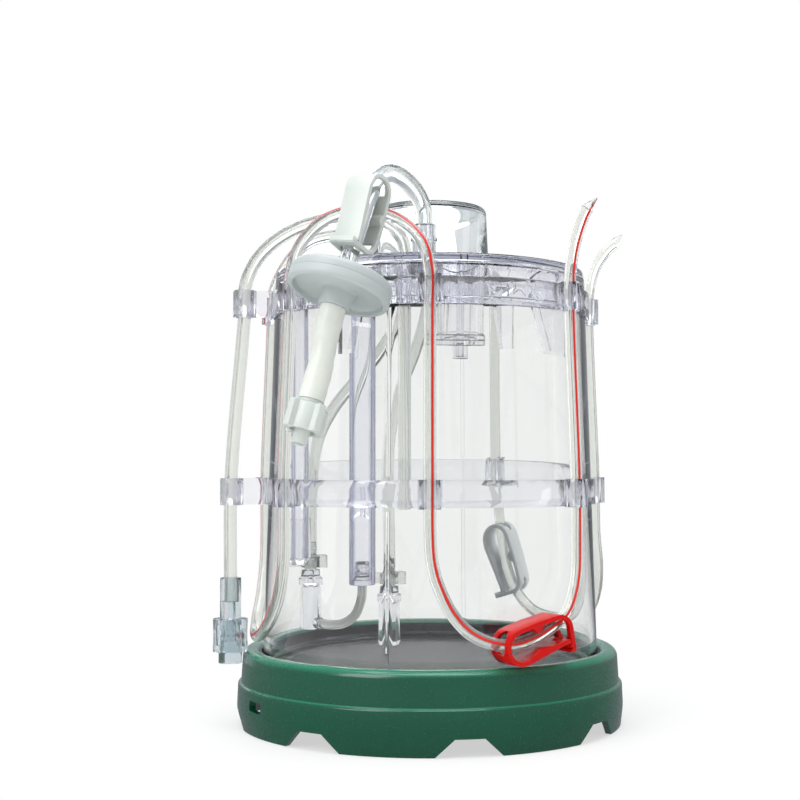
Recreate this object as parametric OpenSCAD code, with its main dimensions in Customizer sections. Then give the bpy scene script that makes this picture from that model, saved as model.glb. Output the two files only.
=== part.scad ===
// Bench bioreactor: clear single-use culture vessel in a moulded stand, with
// clipped-on tubing, pinch clamps, a vent filter and fittings. Millimetres, +Z up,
// origin on the vessel's axis at the underside of the stand, front towards -Y.

/* [Base stand] */
// Largest radius of the stand, at its foot band
base_r = 83; // [70:1:110]
// Height of the stand's rounded crest
base_h = 32.3; // [28:0.1:42]
// Height of the shoulder between the foot band and the upper band
base_step_z = 18; // [14:0.5:20]
// How far the upper band stands back from the foot band
base_step = 1.8; // [0.8:0.2:3]
// Wall of the moulded stand
base_wall = 2.8; // [2:0.1:4]
// Number of notches between the feet
foot_count = 8; // [4:1:10]
// Height of the notches
foot_h = 7; // [4:0.5:9]
// Width of a notch along its top
foot_gap_top = 11.7; // [8:0.1:16]
// Width of a notch along its open side
foot_gap_low = 26.8; // [20:0.1:30]
// Width of the latch slot in the foot band
slot_w = 10.7; // [6:0.1:14]
// Height of the latch slot
slot_h = 4.2; // [3:0.1:6]

/* [Vessel] */
// Outer radius of the vessel at its floor
vessel_r = 72.3; // [60:0.1:90]
// Outer radius of the vessel at its rim
vessel_top_r = 67.6; // [56:0.1:88]
// Height of the vessel, floor to rim
vessel_h = 161.5; // [120:0.5:200]
// Wall of the vessel
vessel_wall = 2; // [1.2:0.1:3]
// Thickness of the vessel's floor
vessel_floor = 2; // [1.5:0.1:4]
// Gap between the vessel and the seat ring around it
vessel_fit = 0.4; // [0.2:0.1:0.8]

/* [Lid] */
// Thickness of the lid plate
lid_plate = 2.8; // [2:0.1:4]
// Height of the lid above the vessel's rim
lid_h = 9.5; // [7:0.1:14]
// Depth of the lid's skirt inside the vessel
lid_skirt = 8; // [5:0.5:12]
// Gap between the lid's skirt and the vessel's wall
lid_fit = 0.3; // [0.2:0.05:0.6]
// How far the centring fins reach below the lid plate
fin_h = 37; // [25:1:50]
// Radius of the hose ports' bosses
port_r = 3.8; // [3:0.1:5]
// Height of the hose ports above the lid
port_up = 3; // [2:0.5:4]

/* [Dome cup] */
// Outer radius of the dome cup where it stands on the lid
dome_r = 25.9; // [20:0.1:27]
// Height of the dome cup
dome_h = 29.4; // [20:0.1:40]
// Wall of the dome cup
dome_wall = 2.4; // [1.5:0.1:3.5]

/* [Clip bands] */
// Height of a clip band
band_h = 11.3; // [8:0.1:14]
// Thickness of a clip band
band_t = 1.5; // [1:0.1:2.5]
// Underside of the lower clip band
low_band_z = 93.2; // [80:0.1:110]
// Underside of the upper clip band
top_band_z = 173; // [160:0.1:176]
// Number of clips around a band
clip_count = 7; // [5:1:9]
// Wall of a clip's jaws
clip_wall = 2; // [1.4:0.1:2.6]

/* [Tubing] */
// Outside diameter of the storage lines
line_d = 5; // [4:0.1:5.2]
// Outside diameter of the sample line
sample_d = 5.5; // [4.5:0.1:5.8]
// Outside diameter of the vent hose
vent_d = 7; // [6:0.1:7.4]
// Outside diameter of the hoses inside the vessel
inner_d = 5.4; // [4:0.1:5.6]
// Outside diameter of the link hose
link_d = 4; // [3:0.1:4.4]

/* [Wells inside the vessel] */
// Radius of the probe well
probe_r = 5.6; // [4:0.1:7]
// Wall of the probe well
probe_wall = 1.2; // [0.8:0.1:1.8]
// Height of the probe well's open end above the bench
probe_low = 58; // [45:1:90]
// Radius of the slim well
slim_r = 3.7; // [3:0.1:4.5]
// Wall of the slim well
slim_wall = 1; // [0.8:0.1:1.4]
// Height of the slim well's end above the bench
slim_low = 69; // [60:1:110]
// Radius of the sensor cup
cup_r = 9.4; // [8:0.1:11]
// Depth of the sensor cup below the lid plate
cup_h = 34.5; // [25:0.5:45]

/* [Vent filter] */
// Radius of the filter's disc
filter_r = 20; // [16:0.1:20.4]
// Thickness of the filter's disc at its rim
filter_t = 8.4; // [6:0.1:10]
// Radius of the filter's lower hub
filter_hub_r = 6.2; // [5.4:0.1:8]
// Outside diameter of the silicone sleeve under the filter
sleeve_d = 10.2; // [8:0.1:12]
// Lean of the filter from upright
filter_tilt = 21; // [15:0.5:24]
// Compass heading that the filter's top leans towards
filter_heading = 43; // [35:1:50]
// Lean of the soft sleeve's lower end from upright
sleeve_tilt = 19.3; // [15:0.1:22]

/* [Pinch clamps] */
// Length of a pinch clamp
clamp_l = 32; // [28:0.5:34]
// Height of a pinch clamp
clamp_h = 15.5; // [14:0.5:19]
// Width of a pinch clamp
clamp_w = 11.5; // [9:0.1:11.8]
// Thickness of the strip that a clamp is moulded from
clamp_t = 1.7; // [1.2:0.1:2.2]

/* [Sample connector] */
// Length of the sleeve that the sample line enters
conn_sleeve_l = 17; // [12:0.5:22]
// Radius of the sleeve
conn_sleeve_r = 4.4; // [4.1:0.1:5]
// Height of the turning nut
conn_nut_h = 13.6; // [11:0.1:16]
// Radius of the turning nut
conn_nut_r = 7.3; // [6.6:0.1:7.5]
// Length of the end cap below the nut
conn_cap_h = 4.6; // [3:0.1:7]
// Radius of the end cap
conn_cap_r = 4.9; // [4:0.1:5.2]
// Running gap of the turning nut and the lock ring, on the radius
spin_gap = 0.06; // [0.02:0.01:0.1]

/* [Hidden] */
$fn = 72;
eps = 0.01;

// Stand
seat_z = 21;                          // deck of the stand, under the seat tray
deck_t = 2.5;
tray_t = 2;
tray_wall = 0.8;
tray_up = 7.8;                        // height of the tray's rim above its floor
crest_round = 4;
crest_in = 6.4;                       // crest line inside the foot band's radius
foot_taper = 1;
slot_angle = 211;
slot_z = 12.2;
notch_angle = 280.6;

// Vessel and lid
vessel_z = seat_z + tray_t;
rim_z = vessel_z + vessel_h;
lid_z = rim_z + lid_h;                // top face of the lid
plate_z = lid_z - lid_plate;          // underside of the lid plate
rib_w = 1.6;                          // mould seam ribs on the vessel
rib_out = 0.5;
rib_angle = 76.6;
fin_t = 2;
fin_fit = 0.3;                        // a fin's gap to the wall beyond the skirt's
fin_in = 9;                           // width of a fin at its foot
fin_angles = [-32, 13, 53, 134, 237];
hub_wall = 1.8;                       // ribbed ring under the plate, below the dome cup
hub_h = 8;
hub_ribs = 24;
hub_rib_t = 1.2;
hub_rib_out = 1.1;

// Ports on the lid, as [x, y]
sample_port = [-10.5, -30];
striped_port = [-12, 35];
rear_port = [-1, 31];
vent_port = [-2.5, -40];
probe_at = [-28.8, -15];
slim_at = [-(vessel_r - 16.3), -10];
cup_at = [12.2, -45];
port_bore = 1.6;
port_down = 13;                       // how far the ports reach below the plate
socket_up = 10;                       // depth of the wells' sockets
well_fit = 0.1;
stem_hole_r = 1.6;
spigot_r = 5;
spigot_h = 15;
elbow_z = lid_z + 10;                 // height of the rear elbow's outlet
elbow_out = 9;
elbow_heading = 46.6;

// Clips
line_r = line_d / 2;
sample_r = sample_d / 2;
clip_slack = 0.25;                    // clip bore over the tube's radius
clamp_slack = 0.8;                    // a clamp's slots over the tube's radius
clip_mouth = 4.2;
clip_proud = 0.3;                     // the clips reach past the band's edges
clip_start = 270;
low_clip_r = 75.5;                    // radius of the tubes' axes at the lower band
top_clip_r = 73;                      // and at the upper band
arm_angle = 193;                      // outrigger arm for the sample line
low_arm_r = 86.3;
top_arm_r = 81.3;
arm_t = 2;
band_fit = 0.15;                      // a band's gap to the vessel's wall

// Fittings on the hoses inside the vessel, as [x, y, z] of their undersides
left_fit = [-52.5, 2, 38];
right_fit = [-18, 6, 30.5];
fit_l = 24.5;
fit_r = 4.9;
fit_bore = 3.3;
side_angle = -43;                     // the left fitting's side nipple
side_out = 7;
side_z = 2.6;
tie_t = 1.3;
tie_h = 4.4;

// Sample connector, down from the end of the sample line
conn_at = [-84.1, -19.4];
conn_top = 62.6;
conn_grip = 10;                       // depth of the sleeve's socket
conn_stem_r = 3.2;
conn_flange_r = 4.4;
conn_flange_h = 2;
nut_lobes = 6;

// Filter, along its own axis with +Z towards the hose
filter_at = [-34, -85, 178];
filter_lip = 2.2;                     // depth of the dish under the disc
hub_up_r = 5.2;
hub_up = 5;
hub_down = 5;
membrane_t = 0.4;
vent_clamp_at = 31;                   // clamp's centre above the disc
lock_l = 17;
sleeve_seat = 0.05;                   // the lock's gap under the sleeve's end
ring_r = 6;
ring_wing_r = 8.4;
ring_h = 10.4;
stem_r = 3;
stem_flange_r = 4.6;

// Routes of the tubes' axes
striped_route = [
    [-12, 35, 197], [-12, 35, 200], [-14, 34.5, 208], [-21, 32, 214.5], [-31, 29, 217], [-42, 25.5, 215.5],
    [-54, 21.5, 212], [-62, 19, 205], [-67, 17.5, 197], [-70.3, 16.6, 189], [-71.2, 16.3, 183],
    [-71.2, 16.3, 172],
    [-73.6, 16.9, 106], [-73.6, 16.9, 72], [-74.5, 12.5, 55], [-75.3, 0, 42.5], [-73.4, -16.8, 38],
    [-68, -32.8, 42.5], [-61.8, -43.6, 55], [-59, -47.1, 72], [-59, -47.1, 106],
    [-57, -45.5, 172], [-57, -45.5, 186], [-53, -47, 199], [-43, -52, 208.5], [-28, -59, 211.5],
    [-14, -65.5, 207.5], [-3, -71, 197], [0, -73, 185], [0, -73, 172],
    [0, -75.5, 106], [0.2, -75.6, 79], [1.6, -75.8, 69], [4.6, -76, 60.5], [9, -76.3, 52.5],
    [15.5, -76.6, 45.8], [24, -76, 42], [32, -72.2, 41], [40, -67.5, 43], [47, -62.6, 46.6],
    [53.2, -57.6, 51], [57, -51.8, 58.8], [58.8, -48, 68], [59.1, -47.2, 79], [59, -47.1, 106],
    [57, -45.5, 172], [57.2, -45.5, 188], [58.6, -46, 198.5], [61.2, -47.3, 207.8],
    [63.8, -49, 214]
];
striped_tip = [67.6, -51.5, 218];
rear_route = [
    [5, 37.5, 204], [12, 45, 204], [20, 53.2, 203], [27.5, 61.5, 197], [31.7, 65.8, 186],
    [31.7, 65.8, 172], [32.7, 68, 106], [33, 68.2, 92], [34.6, 70, 80], [36.4, 69.3, 66],
    [39.4, 67.6, 54], [44, 64.4, 44.5], [51, 59, 38], [59.5, 50.5, 36], [67, 40, 37.5],
    [72.2, 29.8, 43.5], [74.8, 22, 53], [75.2, 18, 65], [74, 17, 80], [73.6, 16.9, 106], [71.2, 16.3, 172], [71.6, 16.3, 187],
    [74.2, 16.8, 198], [79, 17.8, 205.8], [84.6, 19, 211]
];
rear_tip = [88.2, 20, 214.5];
sample_route = [
    [-10.5, -30, 197], [-10.5, -30, 199.5], [-12, -29.7, 205], [-16.5, -29, 210], [-24, -27.8, 213.5], [-34, -26, 214.5],
    [-45, -24.2, 213.5], [-56, -22.3, 210.5], [-65.5, -20.7, 205.5], [-73, -19.4, 198.5],
    [-77.5, -18.6, 190.5], [-79.2, -18.3, 183], [-79.2, -18.3, 172], [-84.1, -19.4, 106], [-84.1, -19.4, 52.6]
];
left_hose_route = [
    [-12, 35, 178.2], [-12, 35, 175.5], [-13.5, 34.5, 168], [-18.5, 31.5, 160], [-26, 26, 149.5], [-35, 19.5, 139.5],
    [-43.5, 12.5, 129], [-49.3, 6.5, 117.5], [-51.8, 3, 104], [-52.5, 2, 84], [-52.5, 2, 62.5]
];
right_hose_route = [
    [-1, 31, 178.2], [-1, 31, 175.5], [-2.5, 30, 167], [-7, 26, 153], [-12.5, 21, 139.5], [-16.8, 15, 124],
    [-18.8, 10, 107], [-18.5, 7, 91], [-18, 6, 74], [-18, 6, 55]
];
straight_hose_route = [[-10.5, -30, 178.2], [-10.5, -30, 150], [-10.5, -30, 120], [-10.5, -30, 90]];
link_route = [
    [-28.8, -15, 58], [-29.2, -14.8, 52], [-31.8, -13.6, 45.5], [-36.5, -11.2, 41.8],
    [-42, -7.6, 40.6], [-47.4, -2.8, 40.6]
];
vent_route = [
    [-31.6, -82.8, 186.6], [-27.4, -78.9, 201.3], [-24.5, -76, 211.5], [-22.7, -74, 216.6],
    [-20.8, -71.5, 220.7], [-18.2, -67.9, 224], [-15.4, -63.5, 225.9], [-12.2, -58, 225.7],
    [-8.6, -51.6, 223.9], [-5.6, -46.3, 221.2], [-3.8, -42.8, 218.2], [-2.8, -40.8, 214.9],
    [-2.5, -40, 211.6], [-2.5, -40, 209]
];
sleeve_route = [
    [-36.4, -87.3, 169.3], [-37.2, -88, 166.5], [-38.3, -89, 161.5], [-39.5, -90, 154], [-41.5, -91.9, 144.5], [-44.2, -94.4, 134]
];

// Outer radius of the vessel at height z
function vessel_at(z) = vessel_r - (z - vessel_z) * (vessel_r - vessel_top_r) / vessel_h;

// Points of an arc around c from angle a to angle b
function arc(c, r, a, b, n) = [for (i = [0:n]) c + r * [cos(a + (b - a) * i / n), sin(a + (b - a) * i / n)]];

function unit(v) = v / norm(v);
function tangent(p, i) = unit(p[min(i + 1, len(p) - 1)] - p[max(i - 1, 0)]);
function squared(n, t) = unit(n - (n * t) * t);
function first_normal(t) = unit(cross(t, abs(t.z) > 0.8 ? [1, 0, 0] : [0, 0, 1]));

// Normals carried along a route without twisting
function normals(p) = [
    for (i = 0, n = first_normal(tangent(p, 0)); i < len(p); i = i + 1, n = squared(n, tangent(p, min(i, len(p) - 1)))) n
];

// One closed tube along a route; a ring of each radius in radii, or r throughout
module swept(p, r, sides, radii = []) {
    n = normals(p);
    rings = [for (i = [0:len(p) - 1])
        let (t = tangent(p, i), b = cross(t, n[i]), ri = len(radii) > 0 ? radii[i] : r)
            for (k = [0:sides - 1]) p[i] + ri * (cos(360 * k / sides) * n[i] + sin(360 * k / sides) * b)];
    last = (len(p) - 1) * sides;
    polyhedron(
        points = rings,
        faces = concat(
            [[for (k = [0:sides - 1]) k]],
            [[for (k = [sides - 1:-1:0]) last + k]],
            [for (i = [0:len(p) - 2]) for (k = [0:sides - 1])
                let (a = i * sides + k, b = i * sides + (k + 1) % sides) each [[a, a + sides, b], [b, a + sides, b + sides]]]
        ),
        convexity = 10
    );
}

// A line whose far end is sealed to a spike
module sealed_line(p, tip, r) {
    n = len(p);
    run = concat(p, [p[n - 1] + 0.3 * (tip - p[n - 1]), tip]);
    swept(run, r, 10, concat([for (i = [0:n - 1]) r], [r * 0.55, 0.35]));
}

// Cylinder between heights, its axis through a point
module post(at, r, z0, z1) {
    translate([at.x, at.y, z0]) cylinder(r = r, h = z1 - z0);
}

module base_stand() {
    crest_r = base_r - crest_in;
    upper_r = base_r - base_step;
    open_r = vessel_r + vessel_fit + tray_wall;
    crest_z = base_h - crest_round;
    color("#226b52") difference() {
        rotate_extrude($fn = 128) polygon(concat(
            [[base_r - foot_taper, 0], [base_r, foot_h + 1], [base_r - 0.4, base_step_z - 0.6],
             [base_r - 0.8, base_step_z], [upper_r + 0.2, base_step_z + 0.1], [upper_r, base_step_z + 0.4]],
            arc([crest_r + 0.1, crest_z], crest_round, 10, 100, 10),
            [[open_r + 0.6, base_h - 1], [open_r, base_h - 1.6], [open_r, seat_z], [0, seat_z], [0, seat_z - deck_t],
             [open_r, seat_z - deck_t], [upper_r - base_wall, crest_z - 3], [upper_r - base_wall, base_step_z],
             [base_r - base_wall - 0.4, base_step_z - 3], [base_r - base_wall, foot_h + 1],
             [base_r - base_wall - foot_taper, 0]]
        ));
        for (i = [0:foot_count - 1]) rotate([0, 0, notch_angle + i * 360 / foot_count])
            translate([base_r - 12, 0, 0]) rotate([90, 0, 90]) linear_extrude(24) polygon([
                [-foot_gap_low / 2, -1], [-foot_gap_low / 2, 0], [-foot_gap_top / 2, foot_h],
                [foot_gap_top / 2, foot_h], [foot_gap_low / 2, 0], [foot_gap_low / 2, -1]
            ]);
        rotate([0, 0, slot_angle]) translate([base_r - 6, 0, slot_z]) rotate([0, 90, 0]) linear_extrude(12) {
            square([slot_h, slot_w - 2], center = true);
            square([slot_h - 2, slot_w], center = true);
            for (y = [-1, 1]) for (x = [-1, 1]) translate([x * (slot_h / 2 - 1), y * (slot_w / 2 - 1)]) circle(r = 1, $fn = 24);
        }
    }
}

module seat_tray() {
    tray_r = vessel_r + vessel_fit + tray_wall;
    color("#6f6b69") translate([0, 0, seat_z]) difference() {
        cylinder(r = tray_r, h = tray_t + tray_up, $fn = 128);
        translate([0, 0, tray_t]) cylinder(r = tray_r - tray_wall, h = tray_up + 1, $fn = 128);
    }
}

module vessel() {
    color("#dfe6ea", 0.35) difference() {
        union() {
            translate([0, 0, vessel_z]) cylinder(r1 = vessel_r, r2 = vessel_top_r, h = vessel_h, $fn = 128);
            for (a = [rib_angle, rib_angle + 180]) rotate([0, 0, a]) rotate([90, 0, 0])
                translate([0, 0, -rib_w / 2]) linear_extrude(rib_w) polygon([
                    [vessel_at(base_h + 1) - 1, base_h + 1], [vessel_at(base_h + 1) + rib_out, base_h + 1],
                    [vessel_at(low_band_z - 1) + rib_out, low_band_z - 1], [vessel_at(low_band_z - 1) - 1, low_band_z - 1]
                ]);
            for (a = [rib_angle, rib_angle + 180]) rotate([0, 0, a]) rotate([90, 0, 0])
                translate([0, 0, -rib_w / 2]) linear_extrude(rib_w) polygon([
                    [vessel_at(low_band_z + band_h + 1) - 1, low_band_z + band_h + 1],
                    [vessel_at(low_band_z + band_h + 1) + rib_out, low_band_z + band_h + 1],
                    [vessel_at(top_band_z - 1) + rib_out, top_band_z - 1], [vessel_at(top_band_z - 1) - 1, top_band_z - 1]
                ]);
        }
        translate([0, 0, vessel_z + vessel_floor]) cylinder(
            r1 = vessel_at(vessel_z + vessel_floor) - vessel_wall, r2 = vessel_top_r - vessel_wall,
            h = vessel_h - vessel_floor, $fn = 128
        );
        translate([0, 0, rim_z - eps]) cylinder(r = vessel_top_r - vessel_wall, h = 1, $fn = 128);
    }
}

module lid_port(at) {
    post(at, port_r, plate_z - port_down, lid_z + port_up);
}

module lid() {
    rim_r = vessel_top_r;
    skirt_r = min(vessel_top_r, vessel_at(rim_z - lid_skirt)) - vessel_wall - lid_fit;
    fin_r = min(vessel_top_r, vessel_at(plate_z - fin_h)) - vessel_wall - lid_fit - fin_fit;
    color("#dfe6ea", 0.35) difference() {
        union() {
            rotate_extrude($fn = 128) polygon(concat(
                [[0, plate_z], [skirt_r - 2.2, plate_z], [skirt_r - 2.2, rim_z - lid_skirt], [skirt_r, rim_z - lid_skirt],
                 [skirt_r, rim_z], [rim_r, rim_z], [rim_r - 0.1, rim_z + 4.4], [rim_r - 0.7, rim_z + 4.8],
                 [rim_r - 0.2, rim_z + 5.2]],
                arc([rim_r - 2.3, lid_z - 1.6], 1.6, 0, 90, 5),
                [[0, lid_z]]
            ));
            for (a = fin_angles) rotate([0, 0, a]) rotate([90, 0, 0]) translate([0, 0, -fin_t / 2])
                linear_extrude(fin_t) polygon([
                    [fin_r - fin_in * 1.9, plate_z + 1], [fin_r - fin_in * 1.9, plate_z - 11],
                    [fin_r - fin_in, plate_z - fin_h], [fin_r, plate_z - fin_h], [fin_r, plate_z + 1]
                ]);
            translate([0, 0, plate_z - hub_h]) {
                cylinder(r = dome_r - hub_rib_out, h = hub_h + eps);
                for (i = [0:hub_ribs - 1]) rotate([0, 0, i * 360 / hub_ribs])
                    translate([dome_r - hub_rib_out - 1, -hub_rib_t / 2, 0]) cube([hub_rib_out + 1, hub_rib_t, hub_h + eps]);
            }
            for (at = [sample_port, striped_port, rear_port]) lid_port(at);
            post(vent_port, port_r, plate_z - 4, lid_z);
            post(probe_at, probe_r + well_fit + 1.4, plate_z - socket_up, plate_z + eps);
            post(slim_at, slim_r + well_fit + 1.4, plate_z - socket_up, plate_z + eps);
        }
        translate([0, 0, plate_z - hub_h - 1]) cylinder(r = dome_r - hub_rib_out - hub_wall, h = hub_h + 1);
        for (at = [sample_port, striped_port, rear_port, vent_port]) post(at, port_bore, plate_z - 20, lid_z + 10);
        post(probe_at, probe_r + well_fit, plate_z - socket_up - 1, plate_z);
        post(slim_at, slim_r + well_fit, plate_z - socket_up - 1, plate_z);
        post(probe_at, port_bore, plate_z - 1, lid_z + 1);
        post(slim_at, slim_r - slim_wall, plate_z - 1, lid_z + 1);
        post(cup_at, stem_hole_r, plate_z - 1, lid_z + 1);
    }
}

module dome_cup() {
    top_r = dome_r - 1.3;
    round_r = 2.4;
    color("#e4eaee", 0.35) translate([0, 0, lid_z]) rotate_extrude($fn = 96) polygon(concat(
        [[dome_r, 0]],
        arc([top_r - round_r, dome_h - round_r], round_r, 3, 90, 7),
        [[0, dome_h], [0, dome_h - dome_wall]],
        arc([top_r - dome_wall - 1.6, dome_h - dome_wall - 1.6], 1.6, 90, 3, 5),
        [[dome_r - dome_wall, 0]]
    ));
}

// C-shaped jaw on the origin, open towards +X
module clip_jaw(bore_r) {
    linear_extrude(band_h) difference() {
        circle(r = bore_r + clip_wall);
        circle(r = bore_r);
        translate([0, -clip_mouth / 2]) square([bore_r + clip_wall + 1, clip_mouth]);
    }
}

// Web from inside the band's wall out to a jaw
module clip_web(from, to) {
    translate([from, -arm_t / 2, 0]) cube([max(to - from, eps), arm_t, band_h]);
}

// Ring around the vessel with a jaw for each tube and an arm for the sample line
module clip_band(z, clip_r, arm_r) {
    low = vessel_at(z) + band_fit;
    top = vessel_at(z + band_h) + band_fit;
    jaw = sample_r + clip_slack;
    arm_in = low + band_t / 2;            // the arm starts inside the band's wall
    color("#dcdcf0", 0.4) difference() {
        translate([0, 0, z]) union() {
            translate([0, 0, clip_proud]) cylinder(
                r1 = low + band_t, r2 = top + band_t, h = band_h - 2 * clip_proud, $fn = 128
            );
            for (i = [0:clip_count - 1]) rotate([0, 0, clip_start + i * 360 / clip_count]) {
                translate([clip_r, 0, 0]) clip_jaw(line_r + clip_slack);
                clip_web(arm_in, clip_r - line_r - clip_slack - clip_wall / 2);
            }
            rotate([0, 0, arm_angle]) {
                translate([arm_r, 0, 0]) clip_jaw(jaw);
                clip_web(arm_in, arm_r - jaw - clip_wall / 2);
            }
        }
        translate([0, 0, z - eps]) cylinder(r1 = low, r2 = top, h = band_h + 2 * eps, $fn = 128);
        for (i = [0:clip_count - 1]) rotate([0, 0, clip_start + i * 360 / clip_count])
            translate([clip_r, 0, z - 1]) cylinder(r = line_r + clip_slack, h = band_h + 2);
    }
}

module lower_clip_band() {
    clip_band(low_band_z, low_clip_r, low_arm_r);
}

module upper_clip_band() {
    clip_band(top_band_z, top_clip_r, top_arm_r);
}

module well_tube(at, r, wall, z0) {
    color("#d5dae4", 0.4) difference() {
        post(at, r, z0, plate_z);
        post(at, r - wall, z0 - 1, plate_z + 1);
    }
}

module probe_well() {
    well_tube(probe_at, probe_r, probe_wall, probe_low);
}

module well_barb() {
    plug_r = probe_r - probe_wall - well_fit;
    color("#e8edf2", 0.5) translate([probe_at.x, probe_at.y, probe_low]) rotate_extrude() polygon([
        [0, 0], [plug_r, 0], [plug_r, 2], [plug_r - 0.5, 2.5], [plug_r - 1.2, 9.5], [plug_r - 0.6, 10], [0, 10]
    ]);
}

module slim_well() {
    well_tube(slim_at, slim_r, slim_wall, slim_low);
}

module slim_well_tip() {
    color("#e8edf2", 0.5) translate([slim_at.x, slim_at.y, slim_low]) difference() {
        union() {
            translate([0, 0, -3]) cylinder(r1 = slim_r, r2 = slim_r + 1.1, h = 3);
            cylinder(r1 = slim_r + 1.1, r2 = slim_r + 0.9, h = 16);
        }
        cylinder(r = slim_r + 0.1, h = 17);
    }
}

module sensor_cup() {
    low = plate_z - cup_h;
    color("#e0e5ee", 0.4) difference() {
        union() {
            post(cup_at, cup_r, low, plate_z);
            translate([cup_at.x, cup_at.y, low]) cylinder(r = cup_r + 0.7, h = 4.2);
        }
        post(cup_at, cup_r - 1.4, low + 2, plate_z + 1);
        post(cup_at, stem_hole_r, low - 1, low + 3);
    }
}

module sensor_stem() {
    color("#c9ccd8", 0.5) {
        post(cup_at, stem_hole_r - 0.05, plate_z - cup_h - 4.5, lid_z);
        post(cup_at, 2.6, lid_z, lid_z + 1.6);
    }
}

module stem_collar() {
    low = plate_z - cup_h;
    color("#d2d6de", 0.5) difference() {
        post(cup_at, 3.1, low - 5.4, low);
        post(cup_at, stem_hole_r, low - 4.5, low + 1);
    }
}

// Dip fitting with its open end down; the hose meets its top face
module dip_fitting(at) {
    translate(at) difference() {
        rotate_extrude() polygon([
            [0, 0], [fit_r - 0.3, 0], [fit_r, 2], [fit_r - 0.4, fit_l - 7], [fit_r + 0.4, fit_l - 6],
            [fit_r + 0.4, fit_l - 3.6], [fit_r - 0.6, fit_l - 3], [fit_r - 0.9, fit_l], [0, fit_l]
        ]);
        translate([0, 0, -1]) cylinder(r = fit_bore, h = 20);
        translate([0, 0, 18]) cylinder(r = 1.4, h = fit_l);
    }
}

module left_dip_fitting() {
    color("#e6ecef", 0.45) difference() {
        union() {
            dip_fitting(left_fit);
            translate(left_fit + [0, 0, side_z]) rotate([0, 90, side_angle]) translate([0, 0, fit_bore + 0.3])
                cylinder(r = 2.4, h = side_out - fit_bore - 0.3);
        }
        translate(left_fit + [0, 0, side_z]) rotate([0, 90, side_angle]) cylinder(r = 1.1, h = side_out + 1);
    }
}

module right_dip_fitting() {
    color("#e6ecef", 0.45) dip_fitting(right_fit);
}

// Cable tie around a hose, with its head and a cut tail
module tie(at, heading) {
    bore = inner_d / 2 + 0.15;
    translate(at) difference() {
        union() {
            cylinder(r = bore + tie_t, h = tie_h);
            rotate([0, 0, heading]) translate([bore + 0.6, -2.4, -0.4]) cube([3.6, 4.8, tie_h + 0.8]);
            rotate([0, 0, heading + 155]) translate([bore + 0.3, -0.6, 0]) cube([9, 1.2, tie_h]);
        }
        translate([0, 0, -1]) cylinder(r = bore, h = tie_h + 2);
    }
}

module left_tie() {
    color("#f2f4f4") tie([left_fit.x, left_fit.y, left_fit.z + fit_l + 1], 20);
}

module right_tie() {
    color("#f2f4f4") tie([right_fit.x, right_fit.y, right_fit.z + fit_l + 1], 20);
}

module left_dip_hose() {
    color("#dfe3dc", 0.7) swept(left_hose_route, inner_d / 2, 10);
}

module right_dip_hose() {
    color("#dfe3dc", 0.7) swept(right_hose_route, inner_d / 2, 10);
}

module straight_dip_hose() {
    color("#dfe3dc", 0.7) swept(straight_hose_route, inner_d / 2, 10);
}

module link_hose() {
    color("#f0f2ee", 0.8) swept(link_route, link_d / 2, 8);
}

module sample_line() {
    color("#dfe3dc", 0.7) swept(sample_route, sample_r, 10);
}

module connector_sleeve() {
    low = conn_top - conn_sleeve_l;
    flange_z = low - 9;
    color("#7b98a6", 0.7) difference() {
        union() {
            post(conn_at, conn_sleeve_r, low, conn_top);
            post(conn_at, conn_stem_r, flange_z, low + 1);
            post(conn_at, conn_flange_r, flange_z, flange_z + conn_flange_h);
        }
        post(conn_at, sample_r + 0.05, conn_top - conn_grip, conn_top + 1);
        post(conn_at, 1.4, flange_z - 1, conn_top);
    }
}

module connector_nut() {
    top = conn_top - conn_sleeve_l - 0.2;
    shelf = 4.6;                      // thickness of the nut's shelf around the stem
    color("#86a2af", 0.7) difference() {
        post(conn_at, conn_nut_r, top - conn_nut_h, top);
        post(conn_at, conn_stem_r + spin_gap, top - conn_nut_h - 1, top + 1);
        post(conn_at, conn_cap_r, top - conn_nut_h - 1, top - shelf);
        for (i = [0:nut_lobes - 1]) rotate_about(conn_at, i * 360 / nut_lobes)
            post([conn_at.x + conn_nut_r + 3, conn_at.y], 3.9, top - conn_nut_h + 3, top - 2);
    }
}

module rotate_about(at, angle) {
    translate([at.x, at.y, 0]) rotate([0, 0, angle]) translate([-at.x, -at.y, 0]) children();
}

module connector_cap() {
    nut_low = conn_top - conn_sleeve_l - 0.2 - conn_nut_h;
    stem_low = conn_top - conn_sleeve_l - 9;
    color("#6f8c9a", 0.8) {
        post(conn_at, conn_cap_r, nut_low - 0.3 - conn_cap_h, nut_low - 0.3);
        post(conn_at, conn_cap_r - 0.8, nut_low - 0.4, stem_low);
    }
}

module striped_line() {
    color("#e2e6df", 0.7) sealed_line(striped_route, striped_tip, line_r);
}

module rear_line() {
    color("#e2e6df", 0.7) sealed_line(rear_route, rear_tip, line_r);
}

module rear_elbow() {
    color("#e6ecef", 0.45) difference() {
        union() {
            post(rear_port, port_r, lid_z + port_up, elbow_z + port_r - 0.8);
            translate([rear_port.x, rear_port.y, elbow_z]) rotate([0, 90, elbow_heading]) cylinder(r = line_r, h = elbow_out - 0.3);
        }
        post(rear_port, port_bore, lid_z, elbow_z + port_bore);
        translate([rear_port.x, rear_port.y, elbow_z]) rotate([0, 90, elbow_heading]) cylinder(r = port_bore, h = elbow_out + 1);
    }
}

// Outline of a strip of thickness t that follows a path
function strip_side(path, d) = [for (i = [0:len(path) - 1])
    let (a = path[max(i - 1, 0)], b = path[min(i + 1, len(path) - 1)], u = (b - a) / norm(b - a)) path[i] + d * [-u.y, u.x]];
function strip(path, t) = concat(
    strip_side(path, t / 2),
    [for (q = [for (i = [len(path) - 1:-1:0]) strip_side(path, -t / 2)[i]]) q]
);

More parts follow.
